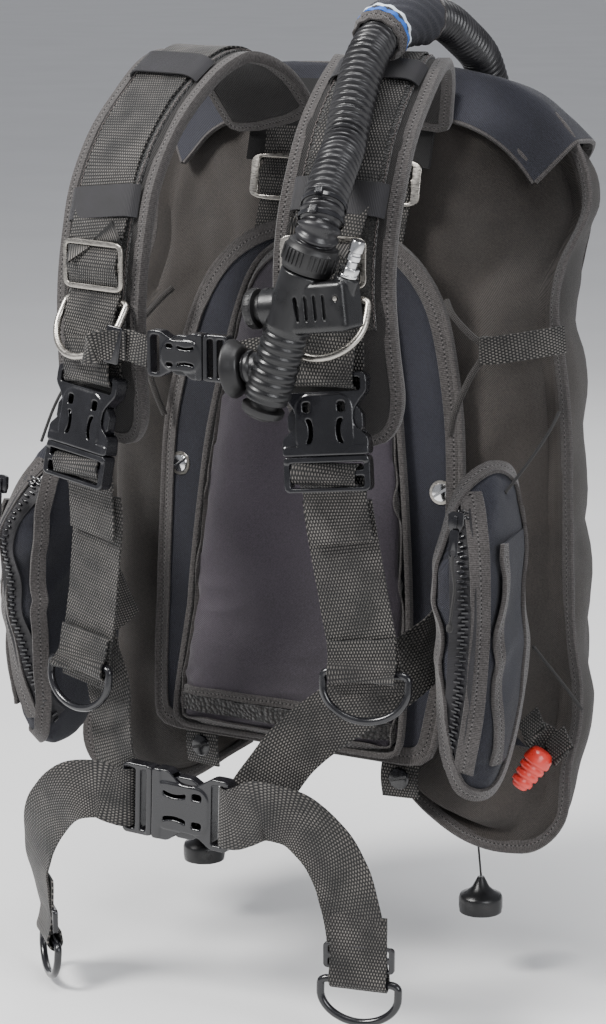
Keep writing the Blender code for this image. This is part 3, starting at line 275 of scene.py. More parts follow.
def rounded(half_width, half_height, radius, steps=6, centre=(0.0, 0.0)):
    points = []
    for quarter, (sx, sz) in enumerate(((1, 1), (-1, 1), (-1, -1), (1, -1))):
        for step in range(steps + 1):
            angle = math.pi / 2 * (quarter + step / steps)
            x = centre[0] + sx * (half_width - radius) + radius * math.cos(angle)
            z = centre[1] + sz * (half_height - radius) + radius * math.sin(angle)
            points.append((x, z))
    return points


def from_cad(node, name, bevel=0.0008, segments=3, angle=35):
    """A merged copy of a CAD node with its edges eased."""
    piece = copy_of(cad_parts[node], name)
    piece.parent = None
    piece.matrix_world = Matrix()
    for key in list(piece.keys()):
        del piece[key]
    piece.hide_render = False
    mended(piece, 0.00003)
    in_edit(piece, lambda: bpy.ops.mesh.dissolve_limited(angle_limit=math.radians(2)))
    if bevel:
        limit = {"limit_method": "ANGLE", "angle_limit": math.radians(angle), "use_clamp_overlap": True}
        modified(piece, "BEVEL", width=bevel, segments=segments, **limit)
    return smooth(piece, angle)


# ---------------------------------------------------------------- runs, swept strips and cloth


def smooth_run(points, spacing=None, count=None):
    """Evenly spaced points on a smooth curve through the given ones; extra values ride along."""
    given = np.array(points, float)
    ends = np.vstack([2 * given[0] - given[1], given, 2 * given[-1] - given[-2]])
    dense = []
    for a, b, c, d in zip(ends, ends[1:], ends[2:], ends[3:]):
        for t in np.arange(0, 1, 1 / 16):
            cubic = (3 * b - a - 3 * c + d) * t**3 + (2 * a - 5 * b + 4 * c - d) * t**2 + (c - a) * t + 2 * b
            dense.append(cubic / 2)
    dense = np.array([*dense, given[-1]])
    length = lengths_along(dense[:, :3])
    if count is None:
        count = max(3, int(round(length[-1] / spacing)) + 1)
    wanted = np.linspace(0, length[-1], count)
    return np.stack([np.interp(wanted, length, column) for column in dense.T], axis=1)


def lengths_along(run):
    return np.concatenate([[0], np.cumsum(np.linalg.norm(np.diff(run, axis=0), axis=1))])


def unit(rows):
    return rows / np.maximum(np.linalg.norm(rows, axis=-1, keepdims=True), 1e-12)


def axes_along(centre, across, cyclic=False):
    """Unit directions at each point of a run: along it, across it, and out of its face."""
    if cyclic:
        along = unit(np.roll(centre, -1, axis=0) - np.roll(centre, 1, axis=0))
    else:
        along = unit(np.gradient(centre, axis=0))
    across = unit(across - along * np.sum(across * along, axis=1, keepdims=True))
    return along, across, np.cross(along, across)


def carried(centre, first=(0, 0, 1.0)):
    """A direction across a round run, carried along it with no twist."""
    along = unit(np.gradient(centre, axis=0))
    now = np.array(first, float)
    found = []
    for step in along:
        now = now - step * np.dot(now, step)
        now = now / np.linalg.norm(now)
        found.append(now)
    return np.array(found)


def mesh_piece(name, places, faces, uvs=None):
    """A new object; uvs gives one (u, v) in metres for each corner of each face."""
    data = bpy.data.meshes.new(name)
    data.from_pydata([tuple(p) for p in places], [], faces)
    if uvs is not None:
        layer = data.uv_layers.new(name="lay")
        layer.data.foreach_set("uv", np.array(uvs, dtype=np.float32).ravel())
    data.update()
    piece = bpy.data.objects.new(name, data)
    bpy.context.scene.collection.objects.link(piece)
    return piece


def swept(name, centre, across, ring, cyclic=False, flat=False):
    """A closed ring of (across, outward) points drawn along a run; flat lays U straight across the strip."""
    centre = np.array(centre, float)
    _, across, outward = axes_along(centre, np.array(across, float), cyclic)
    rings = np.array(ring, float)
    if rings.ndim == 2:
        rings = np.repeat(rings[None], len(centre), axis=0)
    count, sides = rings.shape[:2]
    places = centre[:, None] + rings[..., :1] * across[:, None] + rings[..., 1:] * outward[:, None]
    round_ring = lengths_along(np.vstack([rings[0], rings[0][:1]]))
    u = np.append(rings[0][:, 0], rings[0][0, 0]) if flat else round_ring
    v = lengths_along(np.vstack([centre, centre[:1]]) if cyclic else centre)
    faces, uvs = [], []
    for i in range(count if cyclic else count - 1):
        j = (i + 1) % count
        for k in range(sides):
            m = (k + 1) % sides
            faces.append((i * sides + k, i * sides + m, j * sides + m, j * sides + k))
            uvs += [(u[k], v[i]), (u[k + 1], v[i]), (u[k + 1], v[i + 1]), (u[k], v[i + 1])]
    if not cyclic:
        for i in (0, count - 1):
            faces.append(tuple(i * sides + k for k in range(sides)))
            uvs += [(u[k], v[i]) for k in range(sides)]
    piece = mesh_piece(name, places.reshape(-1, 3), faces, uvs)
    in_edit(piece, lambda: bpy.ops.mesh.normals_make_consistent(inside=False))
    return smooth(piece)


def strip_ring(width, thick, stations=9, edge=0.3):
    """The cross-section of a flat strap with round selvedges."""
    half, deep = width / 2, thick / 2
    xs = np.linspace(-1, 1, stations) * (half - deep * edge)
    front = [(x, deep) for x in xs]
    rear = [(x, -deep) for x in xs[::-1]]
    return [*front, (half, deep * 0.4), (half, -deep * 0.4), *rear, (-half, -deep * 0.4), (-half, deep * 0.4)]


def strap_run(route, spacing=0.002):
    """Centre, width direction and outward face of a strap. Each entry is (place, width direction, lift)."""
    run = smooth_run([(*place, *across, lift) for place, across, lift in route], spacing=spacing)
    centre, across, lift = run[:, :3], run[:, 3:6], run[:, 6:7]
    _, across, outward = axes_along(centre, across)
    return centre + outward * lift, across


def strap(name, route, width, thick, spacing=0.002, ripple=0.00025):
    """A strap laid through its route, a little wavy along its selvedges."""
    centre, across = strap_run(route, spacing)
    ring = np.array(strip_ring(width, thick))
    rings = np.repeat(ring[None], len(centre), axis=0)
    for i, place in enumerate(centre):
        wave = noise.noise(Vector(place) * 55)
        rings[i, :, 1] += ripple * wave * (ring[:, 0] / (width / 2)) ** 2 * 3
        rings[i, :, 0] *= 1 + 0.006 * noise.noise(Vector(place) * 90)
    return swept(name, centre, across, rings, flat=True)


def trim(name, centre, lean, size, finish="binding", cyclic=False):
    """A flat tape whose width lies along lean; size is its width, its thickness and the points across it."""
    return kept(swept(name, centre, lean, strip_ring(*size), cyclic=cyclic, flat=True), finish)


def round_ring(radius, sides=12):
    angles = [2 * math.pi * k / sides for k in range(sides)]
    return [(radius * math.cos(a), radius * math.sin(a)) for a in angles]


def cord_piece(name, points, radius, spacing=0.002, sides=10):
    centre = smooth_run(points, spacing=spacing)[:, :3]
    start = (0, 0, 1.0) if abs(centre[1][2] - centre[0][2]) < 0.7 * spacing else (1.0, 0, 0)
    return swept(name, centre, carried(centre, start), round_ring(radius, sides)), centre


def normals_of(rows):
    """Unit normals of a grid of points: (row direction) x (column direction)."""
    return unit(np.cross(np.gradient(rows, axis=0), np.gradient(rows, axis=1)))


def cloth_grid(name, rows, thick, inward=1.0):
    """A cloth surface through a grid of points, given its thickness."""
    rows = np.array(rows, float)
    count, columns = rows.shape[:2]
    u = np.zeros((count, columns))
    u[:, 1:] = np.cumsum(np.linalg.norm(np.diff(rows, axis=1), axis=2), axis=1)
    v = np.zeros((count, columns))
    v[1:] = np.cumsum(np.linalg.norm(np.diff(rows, axis=0), axis=2), axis=0)
    u -= u[:, columns // 2 : columns // 2 + 1]
    faces, uvs = [], []
    for i in range(count - 1):
        for k in range(columns - 1):
            corners = ((i, k), (i, k + 1), (i + 1, k + 1), (i + 1, k))
            faces.append(tuple(a * columns + b for a, b in corners))
            uvs += [(u[a, b], v[a, b]) for a, b in corners]
    piece = mesh_piece(name, rows.reshape(-1, 3), faces, uvs)
    modified(piece, "SOLIDIFY", thickness=thick, offset=-inward, use_even_offset=False)
    return smooth(piece, 60)


def pillow(name, front, rear):
    """A closed cushion between two grids of points that share their border."""
    front, rear = np.array(front, float), np.array(rear, float)
    count, columns = front.shape[:2]
    places = np.concatenate([front.reshape(-1, 3), rear.reshape(-1, 3)])
    shift = count * columns
    faces, uvs = [], []
    for i in range(count - 1):
        for k in range(columns - 1):
            corners = [i * columns + k, i * columns + k + 1, (i + 1) * columns + k + 1, (i + 1) * columns + k]
            faces.append(tuple(corners))
            faces.append(tuple(c + shift for c in reversed(corners)))
    for corners in faces:
        uvs += [(places[c][0], places[c][2]) for c in corners]
    piece = mesh_piece(name, places, faces, uvs)
    mended(piece, 0.00005)
    return smooth(piece, 60)


def puffed(piece, voxel=0.005, pressure=4.0, cap=0.006, frames=20, shrink=0.0):
    """Cloth simulation blows the pad up and wrinkles it; no point moves further than the cap."""
    modified(piece, "REMESH", mode="VOXEL", voxel_size=voxel, adaptivity=0.0)
    before = np.empty(len(piece.data.vertices) * 3)
    piece.data.vertices.foreach_get("co", before)
    before = before.reshape(-1, 3)
    only(piece)
    step = piece.modifiers.new("swell", "CLOTH")
    cloth = step.settings
    cloth.quality = 4
    cloth.mass = 0.2
    cloth.tension_stiffness = cloth.compression_stiffness = 18
    cloth.bending_stiffness = 0.4
    cloth.shrink_min = shrink
    cloth.use_pressure = True
    cloth.uniform_pressure_force = pressure
    cloth.effector_weights.gravity = 0
    step.collision_settings.use_collision = False
    for number in range(1, frames + 1):
        bpy.context.scene.frame_set(number)
    bpy.ops.object.modifier_apply(modifier=step.name)
    bpy.context.scene.frame_set(1)
    after = np.empty(before.size)
    piece.data.vertices.foreach_get("co", after)
    moved = after.reshape(-1, 3) - before
    far = np.linalg.norm(moved, axis=1, keepdims=True)
    moved *= cap * np.tanh(far / cap) / np.maximum(far, 1e-9)
    piece.data.vertices.foreach_set("co", (before + moved).ravel())
    piece.data.update()
    modified(piece, "SUBSURF", levels=1, render_levels=1)
    only(piece)
    bpy.ops.object.shade_smooth()
    return piece


class Surface:
    """Finds places on a finished piece, for what is sewn to it."""

    def __init__(self, *pieces):
        self.trees = []
        for piece in pieces:
            bm = bmesh.new()
            bm.from_mesh(piece.data)
            self.trees.append(BVHTree.FromBMesh(bm))
            bm.free()

    def nearest(self, place):
        found = [tree.find_nearest(Vector(place)) for tree in self.trees]
        return min((hit for hit in found if hit[0] is not None), key=lambda hit: hit[3])

    def cast(self, origin, direction, reach=0.5):
        found = [tree.ray_cast(Vector(origin), Vector(direction).normalized(), reach) for tree in self.trees]
        hits = [hit for hit in found if hit[0] is not None]
        return min(hits, key=lambda hit: hit[3]) if hits else None


def laid_tape(name, surface, points, width, thick, lift=0.0, cyclic=False, spacing=0.003, from_side=None):
    """A tape that follows a surface: its centre is dropped on it and its face turns with the surface."""
    given = [*points, points[0]] if cyclic else points
    run = smooth_run(given, spacing=spacing)[:, :3]
    if cyclic:
        run = run[:-1]
    places, out = [], []
    for point in run:
        hit = None
        if from_side is not None:
            hit = surface.cast(Vector(point) - Vector(from_side) * 0.06, from_side, 0.2)
        if hit is None:
            hit = surface.nearest(point)
        places.append(np.array(hit[0]))
        out.append(np.array(hit[1]))
    places, out = np.array(places), np.array(out)
    for _ in range(3):
        if cyclic:
            out = unit(np.roll(out, 1, axis=0) + out + np.roll(out, -1, axis=0))
            places = (np.roll(places, 1, axis=0) + 2 * places + np.roll(places, -1, axis=0)) / 4
        else:
            out = unit(np.vstack([out[:1], (out[:-2] + out[1:-1] + out[2:]), out[-1:]]))
            places[1:-1] = (places[:-2] + 2 * places[1:-1] + places[2:]) / 4
    places = places + out * (thick / 2 + lift)
    if cyclic:
        along = unit(np.roll(places, -1, axis=0) - np.roll(places, 1, axis=0))
    else:
        along = unit(np.gradient(places, axis=0))
    return swept(name, places, np.cross(out, along), strip_ring(width, thick, 7), cyclic=cyclic, flat=True)


def thread_row(name, centre, out, pitch=0.0032, share=0.62, radius=0.00035):
    """A row of stitches: short round dashes that dip into the cloth at their ends."""
    centre, out = np.array(centre, float), np.array(out, float)
    length = lengths_along(centre)
    places, faces = [], []
    for start in np.arange(pitch * 0.3, length[-1] - pitch * share, pitch):
        ends = [np.array([np.interp(s, length, c) for c in centre.T]) for s in (start, start + pitch * share)]
        up = unit(np.array([np.interp(start, length, c) for c in out.T]))
        along = unit(ends[1] - ends[0])
        side = np.cross(along, up)
        base = len(places)
        for t, swell in ((0.0, 0.15), (0.25, 1.0), (0.75, 1.0), (1.0, 0.15)):
            middle = ends[0] + (ends[1] - ends[0]) * t + up * radius * (swell - 0.6)
            for k in range(4):
                angle = math.pi / 2 * k + math.pi / 4
                places.append(middle + (side * math.cos(angle) + up * math.sin(angle)) * radius * max(swell, 0.5))
        for row in range(3):
            for k in range(4):
                a, b = base + row * 4 + k, base + row * 4 + (k + 1) % 4
                faces.append((a, b, b + 4, a + 4))
        faces.append(tuple(base + k for k in (3, 2, 1, 0)))
        faces.append(tuple(base + 12 + k for k in range(4)))
    piece = mesh_piece(name, places, faces)
    in_edit(piece, lambda: bpy.ops.mesh.normals_make_consistent(inside=False))
    return piece


# ---------------------------------------------------------------- finishes


def linear(colour):
    """sRGB hex to linear RGBA."""
    channels = [int(colour[i : i + 2], 16) / 255 for i in (0, 2, 4)]
    return (*[c / 12.92 if c <= 0.04045 else ((c + 0.055) / 1.055) ** 2.4 for c in channels], 1.0)


def add(tree, kind, wires=None, **settings):
    """Adds a shader node; wires maps its inputs to plain values, outputs, or nodes for their first output."""
    made = tree.nodes.new("ShaderNode" + kind)
    for key, value in settings.items():
        setattr(made, key, value)
    for socket, value in (wires or {}).items():
        if isinstance(value, bpy.types.Node):
            value = value.outputs[0]
        if isinstance(value, bpy.types.NodeSocket):
            tree.links.new(value, made.inputs[socket])
        else:
            made.inputs[socket].default_value = value
    return made


def blank(name, roughness, metallic=0.0, **sockets):
    """A new finish: its tree and its shader. Plain numbers go on the shader's own sockets."""
    made = bpy.data.materials.new(name)
    made.use_nodes = True
    tree = made.node_tree
    shader = tree.nodes["Principled BSDF"]
    shader.inputs["Roughness"].default_value = roughness
    shader.inputs["Metallic"].default_value = metallic
    for socket, value in sockets.items():
        shader.inputs[socket.replace("_", " ")].default_value = value
    finishes[name] = made
    return tree, shader


def tinted(tree, shader, share, low, high):
    """Base colour between two hex colours."""
    mix = add(tree, "Mix", {0: share, 6: linear(low), 7: linear(high)}, data_type="RGBA")
    tree.links.new(mix.outputs[2], shader.inputs["Base Color"])


def bumped(tree, shader, height, distance, strength=1.0):
    bump = add(tree, "Bump", {"Height": height, "Distance": distance, "Strength": strength})
    tree.links.new(bump.outputs["Normal"], shader.inputs["Normal"])


def woven(name, low, high, pitch, depth, roughness, blotch=9.0, sheen=0.12):
    """Plain-woven nylon: two crossing thread sets, a little uneven in colour where it has been handled."""
    tree, shader = blank(name, roughness, Sheen_Weight=sheen, Sheen_Roughness=0.45, Specular_IOR_Level=0.35)
    place = add(tree, "TexCoord").outputs["Object"]
    axes = add(tree, "SeparateXYZ", {0: place})
    turn = 2 * math.pi / pitch
    warp = add(tree, "Math", {0: axes.outputs["X"], 1: axes.outputs["Y"]}, operation="ADD")
    warp = add(tree, "Math", {0: warp, 1: turn}, operation="MULTIPLY")
    warp = add(tree, "Math", {0: warp}, operation="SINE")
    weft = add(tree, "Math", {0: axes.outputs["Z"], 1: turn}, operation="MULTIPLY")
    weft = add(tree, "Math", {0: weft}, operation="SINE")
    cross = add(tree, "Math", {0: warp, 1: weft}, operation="MULTIPLY")
    grain = add(tree, "TexNoise", {"Vector": place, "Scale": 900.0, "Detail": 1.0})
    patch = add(tree, "TexNoise", {"Vector": place, "Scale": blotch, "Detail": 3.0, "Roughness": 0.6})
    # Painted light: the colour follows the weave's height, lighter on the thread crests (painted highlight); the large
    # patches are random tone.
    share = add(tree, "Math", {0: cross, 1: 0.45, 2: patch}, operation="MULTIPLY_ADD")
    share = add(tree, "Math", {0: grain, 1: 0.9, 2: share}, operation="MULTIPLY_ADD")
    share = add(tree, "MapRange", {0: share, 1: 0.45, 2: 1.45, 3: 0.0, 4: 1.0})
    tinted(tree, shader, share, low, high)
    height = add(tree, "Math", {0: grain, 1: 0.9, 2: cross}, operation="MULTIPLY_ADD")
    bumped(tree, shader, height, depth)


def ribbed(name, low, high, pitch, dot, depth, roughness, contrast=0.85):
    """Webbing: ribs across the strap, each one a row of threads that catch the light as dots."""
    tree, shader = blank(name, roughness, Sheen_Weight=0.15, Sheen_Roughness=0.4, Specular_IOR_Level=0.4)
    axes = add(tree, "SeparateXYZ", {0: add(tree, "UVMap", uv_map="lay")})
    row = add(tree, "Math", {0: axes.outputs["Y"], 1: 1 / pitch}, operation="MULTIPLY")
    number = add(tree, "Math", {0: row}, operation="FLOOR")
    swing = add(tree, "Math", {0: row, 1: math.pi}, operation="MULTIPLY")
    swing = add(tree, "Math", {0: swing}, operation="SINE")
    rib = add(tree, "Math", {0: swing}, operation="ABSOLUTE")
    shifted = add(tree, "Math", {0: number, 1: math.pi, 2: 0.0}, operation="MULTIPLY_ADD")
    dots = add(tree, "Math", {0: axes.outputs["X"], 1: 2 * math.pi / dot, 2: shifted}, operation="MULTIPLY_ADD")
    dots = add(tree, "Math", {0: dots}, operation="SINE")
    dots = add(tree, "MapRange", {0: dots, 1: -1.0, 2: 1.0, 3: 1.0 - contrast, 4: 1.0})
    height = add(tree, "Math", {0: rib, 1: dots}, operation="MULTIPLY")
    wear = add(tree, "TexNoise", {"Vector": add(tree, "TexCoord").outputs["Object"], "Scale": 45.0, "Detail": 2.0})
    # Painted light: the colour follows the rib height, lighter on the lit dots of the crests (painted highlight) and
    # near black between ribs (painted shade).
    share = add(tree, "Math", {0: height, 1: wear}, operation="MULTIPLY")
    share = add(tree, "MapRange", {0: share, 1: 0.12, 2: 0.60, 3: 0.0, 4: 1.0})
    tinted(tree, shader, share, low, high)
    bumped(tree, shader, height, depth)


def taped(name, low, high):
    """Grosgrain binding: close cross ribs and a sunk line of stitching down its middle."""
    tree, shader = blank(name, 0.82, Sheen_Weight=0.2, Sheen_Roughness=0.5, Specular_IOR_Level=0.3)
    axes = add(tree, "SeparateXYZ", {0: add(tree, "UVMap", uv_map="lay")})
    rib = add(tree, "Math", {0: axes.outputs["Y"], 1: 2 * math.pi / (1.3 * MM)}, operation="MULTIPLY")
    rib = add(tree, "Math", {0: rib}, operation="SINE")
    off = add(tree, "Math", {0: axes.outputs["X"]}, operation="ABSOLUTE")
    line = add(tree, "MapRange", {0: off, 1: 0.2 * MM, 2: 0.8 * MM, 3: 1.0, 4: 0.0})
    dash = add(tree, "Math", {0: axes.outputs["Y"], 1: 2 * math.pi / (3.4 * MM)}, operation="MULTIPLY")
    dash = add(tree, "Math", {0: dash}, operation="SINE")
    dash = add(tree, "MapRange", {0: dash, 1: -0.2, 2: 0.2, 3: 0.0, 4: 1.0})
    stitch = add(tree, "Math", {0: line, 1: dash}, operation="MULTIPLY")
    hole = add(tree, "Math", {0: line, 1: stitch}, operation="SUBTRACT")
    fuzz = add(tree, "TexNoise", {"Vector": add(tree, "TexCoord").outputs["Object"], "Scale": 700.0, "Detail": 2.0})
    # Painted light: the ribs lighten the colour on their crests, painted highlight.
    share = add(tree, "Math", {0: rib, 1: 0.18, 2: fuzz}, operation="MULTIPLY_ADD")
    share = add(tree, "Math", {0: stitch, 1: 0.55, 2: share}, operation="MULTIPLY_ADD")
    # The sunk line between stitches is painted darker: painted shade in the groove.
    share = add(tree, "Math", {0: hole, 1: -0.75, 2: share}, operation="MULTIPLY_ADD")
    share = add(tree, "MapRange", {0: share, 1: 0.1, 2: 1.1, 3: 0.0, 4: 1.0})
    tinted(tree, shader, share, low, high)
    height = add(tree, "Math", {0: hole, 1: -1.6, 2: share}, operation="MULTIPLY_ADD")
    bumped(tree, shader, height, 0.0005)


def piled(name, low, high, scale, depth, roughness=0.95):
    """Looped pile or spacer mesh: small round cells."""
    tree, shader = blank(name, roughness, Sheen_Weight=0.3, Sheen_Roughness=0.6, Specular_IOR_Level=0.2)
    place = add(tree, "TexCoord").outputs["Object"]
    cells = add(tree, "TexVoronoi", {"Vector": place, "Scale": scale})
    # Painted light: the colour follows the cells' height, dark in the gaps as painted shade.
    share = add(tree, "MapRange", {0: cells.outputs["Distance"], 1: 0.1, 2: 0.75, 3: 1.0, 4: 0.0})
    tinted(tree, shader, share, low, high)
    bumped(tree, shader, share, depth)


def moulding(name, low, high, roughness, grain, depth, scuff=0.12, coat=0.0):
    """Moulded plastic or rubber: a fine tool texture, and roughness that varies where it is rubbed."""
    tree, shader = blank(name, roughness, Coat_Weight=coat, Coat_Roughness=0.2, Specular_IOR_Level=0.5)
    place = add(tree, "TexCoord").outputs["Object"]
    fine = add(tree, "TexNoise", {"Vector": place, "Scale": grain, "Detail": 2.0})
    rubbed = add(tree, "TexNoise", {"Vector": place, "Scale": 60.0, "Detail": 4.0, "Roughness": 0.65})
    tinted(tree, shader, rubbed, low, high)
    rough = add(tree, "MapRange", {0: rubbed, 1: 0.3, 2: 0.7, 3: roughness - scuff, 4: roughness + scuff})
    tree.links.new(rough.outputs[0], shader.inputs["Roughness"])
    bumped(tree, shader, fine, depth)


def metal(name, low, high, roughness, streak, depth):
    """Stainless sheet and wire: bright, with the fine scratches of tumbling and use."""
    tree, shader = blank(name, roughness, 1.0)
    place = add(tree, "TexCoord").outputs["Object"]
    stretch = add(tree, "Mapping", {"Vector": place, "Scale": streak})
    lines = add(tree, "TexNoise", {"Vector": stretch, "Scale": 260.0, "Detail": 3.0})
    tinted(tree, shader, lines, low, high)
    rough = add(tree, "MapRange", {0: lines, 1: 0.3, 2: 0.7, 3: roughness * 0.75, 4: roughness * 1.35})
    tree.links.new(rough.outputs[0], shader.inputs["Roughness"])
    bumped(tree, shader, lines, depth, 0.5)


def braided(name, low, high, pitch, turn_width, depth):
    """Braided cord: two crossing spirals of strands round it."""
    tree, shader = blank(name, 0.7, Sheen_Weight=0.1, Specular_IOR_Level=0.4)
    axes = add(tree, "SeparateXYZ", {0: add(tree, "UVMap", uv_map="lay")})
    spirals = []
    for hand in (1, -1):
        rise = add(tree, "Math", {0: axes.outputs["X"], 1: hand * 2 * math.pi / turn_width}, operation="MULTIPLY")
        lay = 2 * math.pi / pitch
        rise = add(tree, "Math", {0: axes.outputs["Y"], 1: lay, 2: rise}, operation="MULTIPLY_ADD")
        spirals.append(add(tree, "Math", {0: rise}, operation="SINE"))
    weave = add(tree, "Math", {0: spirals[0], 1: spirals[1]}, operation="MULTIPLY")
    share = add(tree, "MapRange", {0: weave, 1: -0.6, 2: 0.9, 3: 0.0, 4: 1.0})
    tinted(tree, shader, share, low, high)
    bumped(tree, shader, weave, depth)


def make_finishes():
    looks = bpy.context.scene.vest_colours
    thread = bpy.context.scene.vest_sizes.thread_pitch
    woven("cordura", "080706", looks.wing_cloth_hex, thread, 0.00030, 0.70, sheen=0.10)
    woven("lining", "060606", "131213", thread, 0.00012, 0.85)
    woven("packcloth", "08080D", looks.navy_cloth_hex, thread, 0.00026, 0.76, sheen=0.08)
    woven("pad_cloth", "080707", "2A2726", thread, 0.00030, 0.80, sheen=0.12)
    woven("cushion_nylon", "1A171B", looks.cushion_cloth_hex, thread * 0.8, 0.00012, 0.56, blotch=6.0, sheen=0.22)
    piled("spacer_mesh", "050505", "2E2A29", 330.0, 0.0012)
    piled("loop_pile", "070707", "26231F", 620.0, 0.0010)
    # The webbing's two colours are lit and shaded copies: the near-black low is painted shade between ribs, the high is
    # the painted highlight on lit rib crests.
    ribbed("webbing", "020202", looks.webbing_lit_crest_hex, 2.4 * MM, 2.2 * MM, 0.00085, 0.60, contrast=1.0)
    ribbed("fine_webbing", "0A090B", "222026", 1.15 * MM, 0.9 * MM, 0.00016, 0.58, contrast=0.3)
    taped("binding", "1B1817", looks.binding_hex)
    braided("bungee", "0C0B0B", "4A4542", 2.6 * MM, 2.2 * MM, 0.0004)
    braided("cord_nylon", "0A0A0A", "2C2A2A", 1.6 * MM, 1.6 * MM, 0.0002)
    moulding("acetal", "0A0A0C", "202024", 0.20, 1800.0, 0.00003, coat=0.25)
    moulding("abs", "0B0B0C", "1B1B1D", 0.32, 2400.0, 0.00006)
    moulding("polyethylene", "121213", "1C1C1E", 0.50, 900.0, 0.0001)
    moulding("moulded_rubber", "0B0B0C", "1B1A1B", 0.44, 1500.0, 0.00006)
    moulding("hose_rubber", "070708", "2B2A2D", 0.34, 1200.0, 0.00005)
    moulding("grip_rubber", "B3221B", "E8463A", 0.32, 900.0, 0.00004, coat=0.3)
    moulding("thread", "4A4342", "6A6260", 0.85, 3000.0, 0.0)
    moulding("tag_blue", "1F4FA0", "2F6CC4", 0.6, 1500.0, 0.00004)
    moulding("tag_white", "C9D4DE", "E6EDF2", 0.6, 1500.0, 0.00004)
    metal("stainless", "8E8A84", "CFCAC2", 0.30, (1, 1, 6), 0.00002)
    metal("chromed", "C4C4C4", "E8E8E8", 0.14, (1, 1, 1), 0.00001)


# ---------------------------------------------------------------- wing

# Inner edge (x, z), seam (x, y, z) and rear depth share, from the top centre to the lobe's tip
WING_STATIONS = [
    ((0.000, 0.150), (0.000, 0.044, 0.292), 0.20),
    ((0.020, 0.150), (0.055, 0.044, 0.292), 0.24),
    ((0.040, 0.146), (0.100, 0.044, 0.287), 0.36),
    ((0.052, 0.136), (0.140, 0.043, 0.272), 0.56),
    ((0.058, 0.120), (0.171, 0.041, 0.244), 0.80),
    ((0.058, 0.100), (0.186, 0.034, 0.203), 0.95),
    ((0.058, 0.080), (0.177, 0.012, 0.160), 1.00),
    ((0.058, 0.060), (0.180, -0.008, 0.120), 1.00),
    ((0.058, 0.030), (0.196, -0.020, 0.060), 1.00),
    ((0.058, -0.020), (0.204, -0.028, -0.030), 1.00),
    ((0.058, -0.070), (0.209, -0.030, -0.105), 1.00),
    ((0.058, -0.115), (0.214, -0.026, -0.160), 0.95),
    ((0.058, -0.145), (0.208, -0.032, -0.205), 0.90),
    ((0.058, -0.160), (0.206, -0.037, -0.243), 0.80),
    ((0.058, -0.172), (0.182, -0.042, -0.264), 0.68),
    ((0.057, -0.180), (0.142, -0.044, -0.265), 0.52),
    ((0.056, -0.185), (0.102, -0.040, -0.249), 0.36),
    ((0.054, -0.188), (0.060, -0.030, -0.219), 0.20),
]
WING_DEPTH = 0.085
WING_SPREAD = 0.012
FLANGE_FRONT, FLANGE_REAR = -0.0165, -0.006
CLOTH = 0.0012


def station(index, side):
    (inner_x, inner_z), (x, y, z), share = WING_STATIONS[index]
    return Vector((side * inner_x, 0, inner_z)), Vector((side * x, y, z)), WING_DEPTH * share


def front_places(index, side, steps=28):
    """Across the front cloth, from the flange behind the panel to the seam."""
    inner, seam, _ = station(index, side)
    inner.y = FLANGE_FRONT
    fullness = 0.014 * max(0.0, min(1.0, (index - 5) / 3)) * max(0.25, min(1.0, (17 - index) / 3))
    row = []
    for t in np.linspace(0, 1, steps + 1):
        place = inner.lerp(seam, t)
        place.y -= fullness * math.sin(math.pi * t**1.6)
        row.append(place)
    return row


def rear_place(index, side, angle, grow=0.0):
    inner, seam, depth = station(index, side)
    inner.y = FLANGE_REAR
    outward = Vector((seam.x - inner.x, 0, seam.z - inner.z)).normalized()
    place = inner.lerp(seam, (1 - math.cos(angle)) / 2)
    swell = max(0.0, math.sin(angle)) ** (2.8 if angle < math.pi / 2 else 1.0)
    place += outward * (WING_SPREAD * depth / WING_DEPTH * swell * (1 - math.cos(angle)) / 2)
    place.y += depth * swell + 0.0045 * (angle / math.pi) ** 2
    return place + Vector((0, swell, 0)) * grow - outward * (math.cos(angle) * grow)


def both_sides(section, spread, last=len(WING_STATIONS) - 1):
    """Sections from one lobe's tip over the top to the other's, drawn out smoothly."""
    rows = [section(index, 1) for index in range(last, 0, -1)] + [section(index, -1) for index in range(last + 1)]
    rows = np.array([[tuple(p) for p in row] for row in rows])
    flat = rows.reshape(len(rows), -1)
    steps = np.interp(np.linspace(0, 1, spread), np.linspace(0, 1, len(rows)), np.arange(len(rows)))
    out = []
    for s in steps:
        i = min(int(s), len(rows) - 2)
        t = s - i
        a, b, c, d = (flat[max(0, min(len(flat) - 1, i + k))] for k in (-1, 0, 1, 2))
        out.append(((3 * b - a - 3 * c + d) * t**3 + (2 * a - 5 * b + 4 * c - d) * t**2 + (c - a) * t + 2 * b) / 2)
    return np.array(out).reshape(spread, -1, 3)


def folded(rows, size, along_share, across_share, fine, mask):
    """Pushes a cloth grid in and out along its normals in soft creases."""
    out = normals_of(rows)
    count, columns = rows.shape[:2]
    moved = rows.copy()
    for i in range(count):
        for k in range(columns):
            place = Vector(rows[i, k])
            share = mask(k / (columns - 1))
            if share <= 0:
                continue
            bend = Vector((place.x * across_share, place.y * 6, place.z * along_share))
            ridge = 1 - 2 * abs(noise.noise(bend + Vector((3.1, 1.7, 0.4))))
            soft = noise.noise(place * 13)
            crumple = noise.noise(place * 60)
            moved[i, k] += out[i, k] * share * (size * (0.6 * soft + 0.55 * (ridge - 0.55)) + fine * crumple)
    return moved


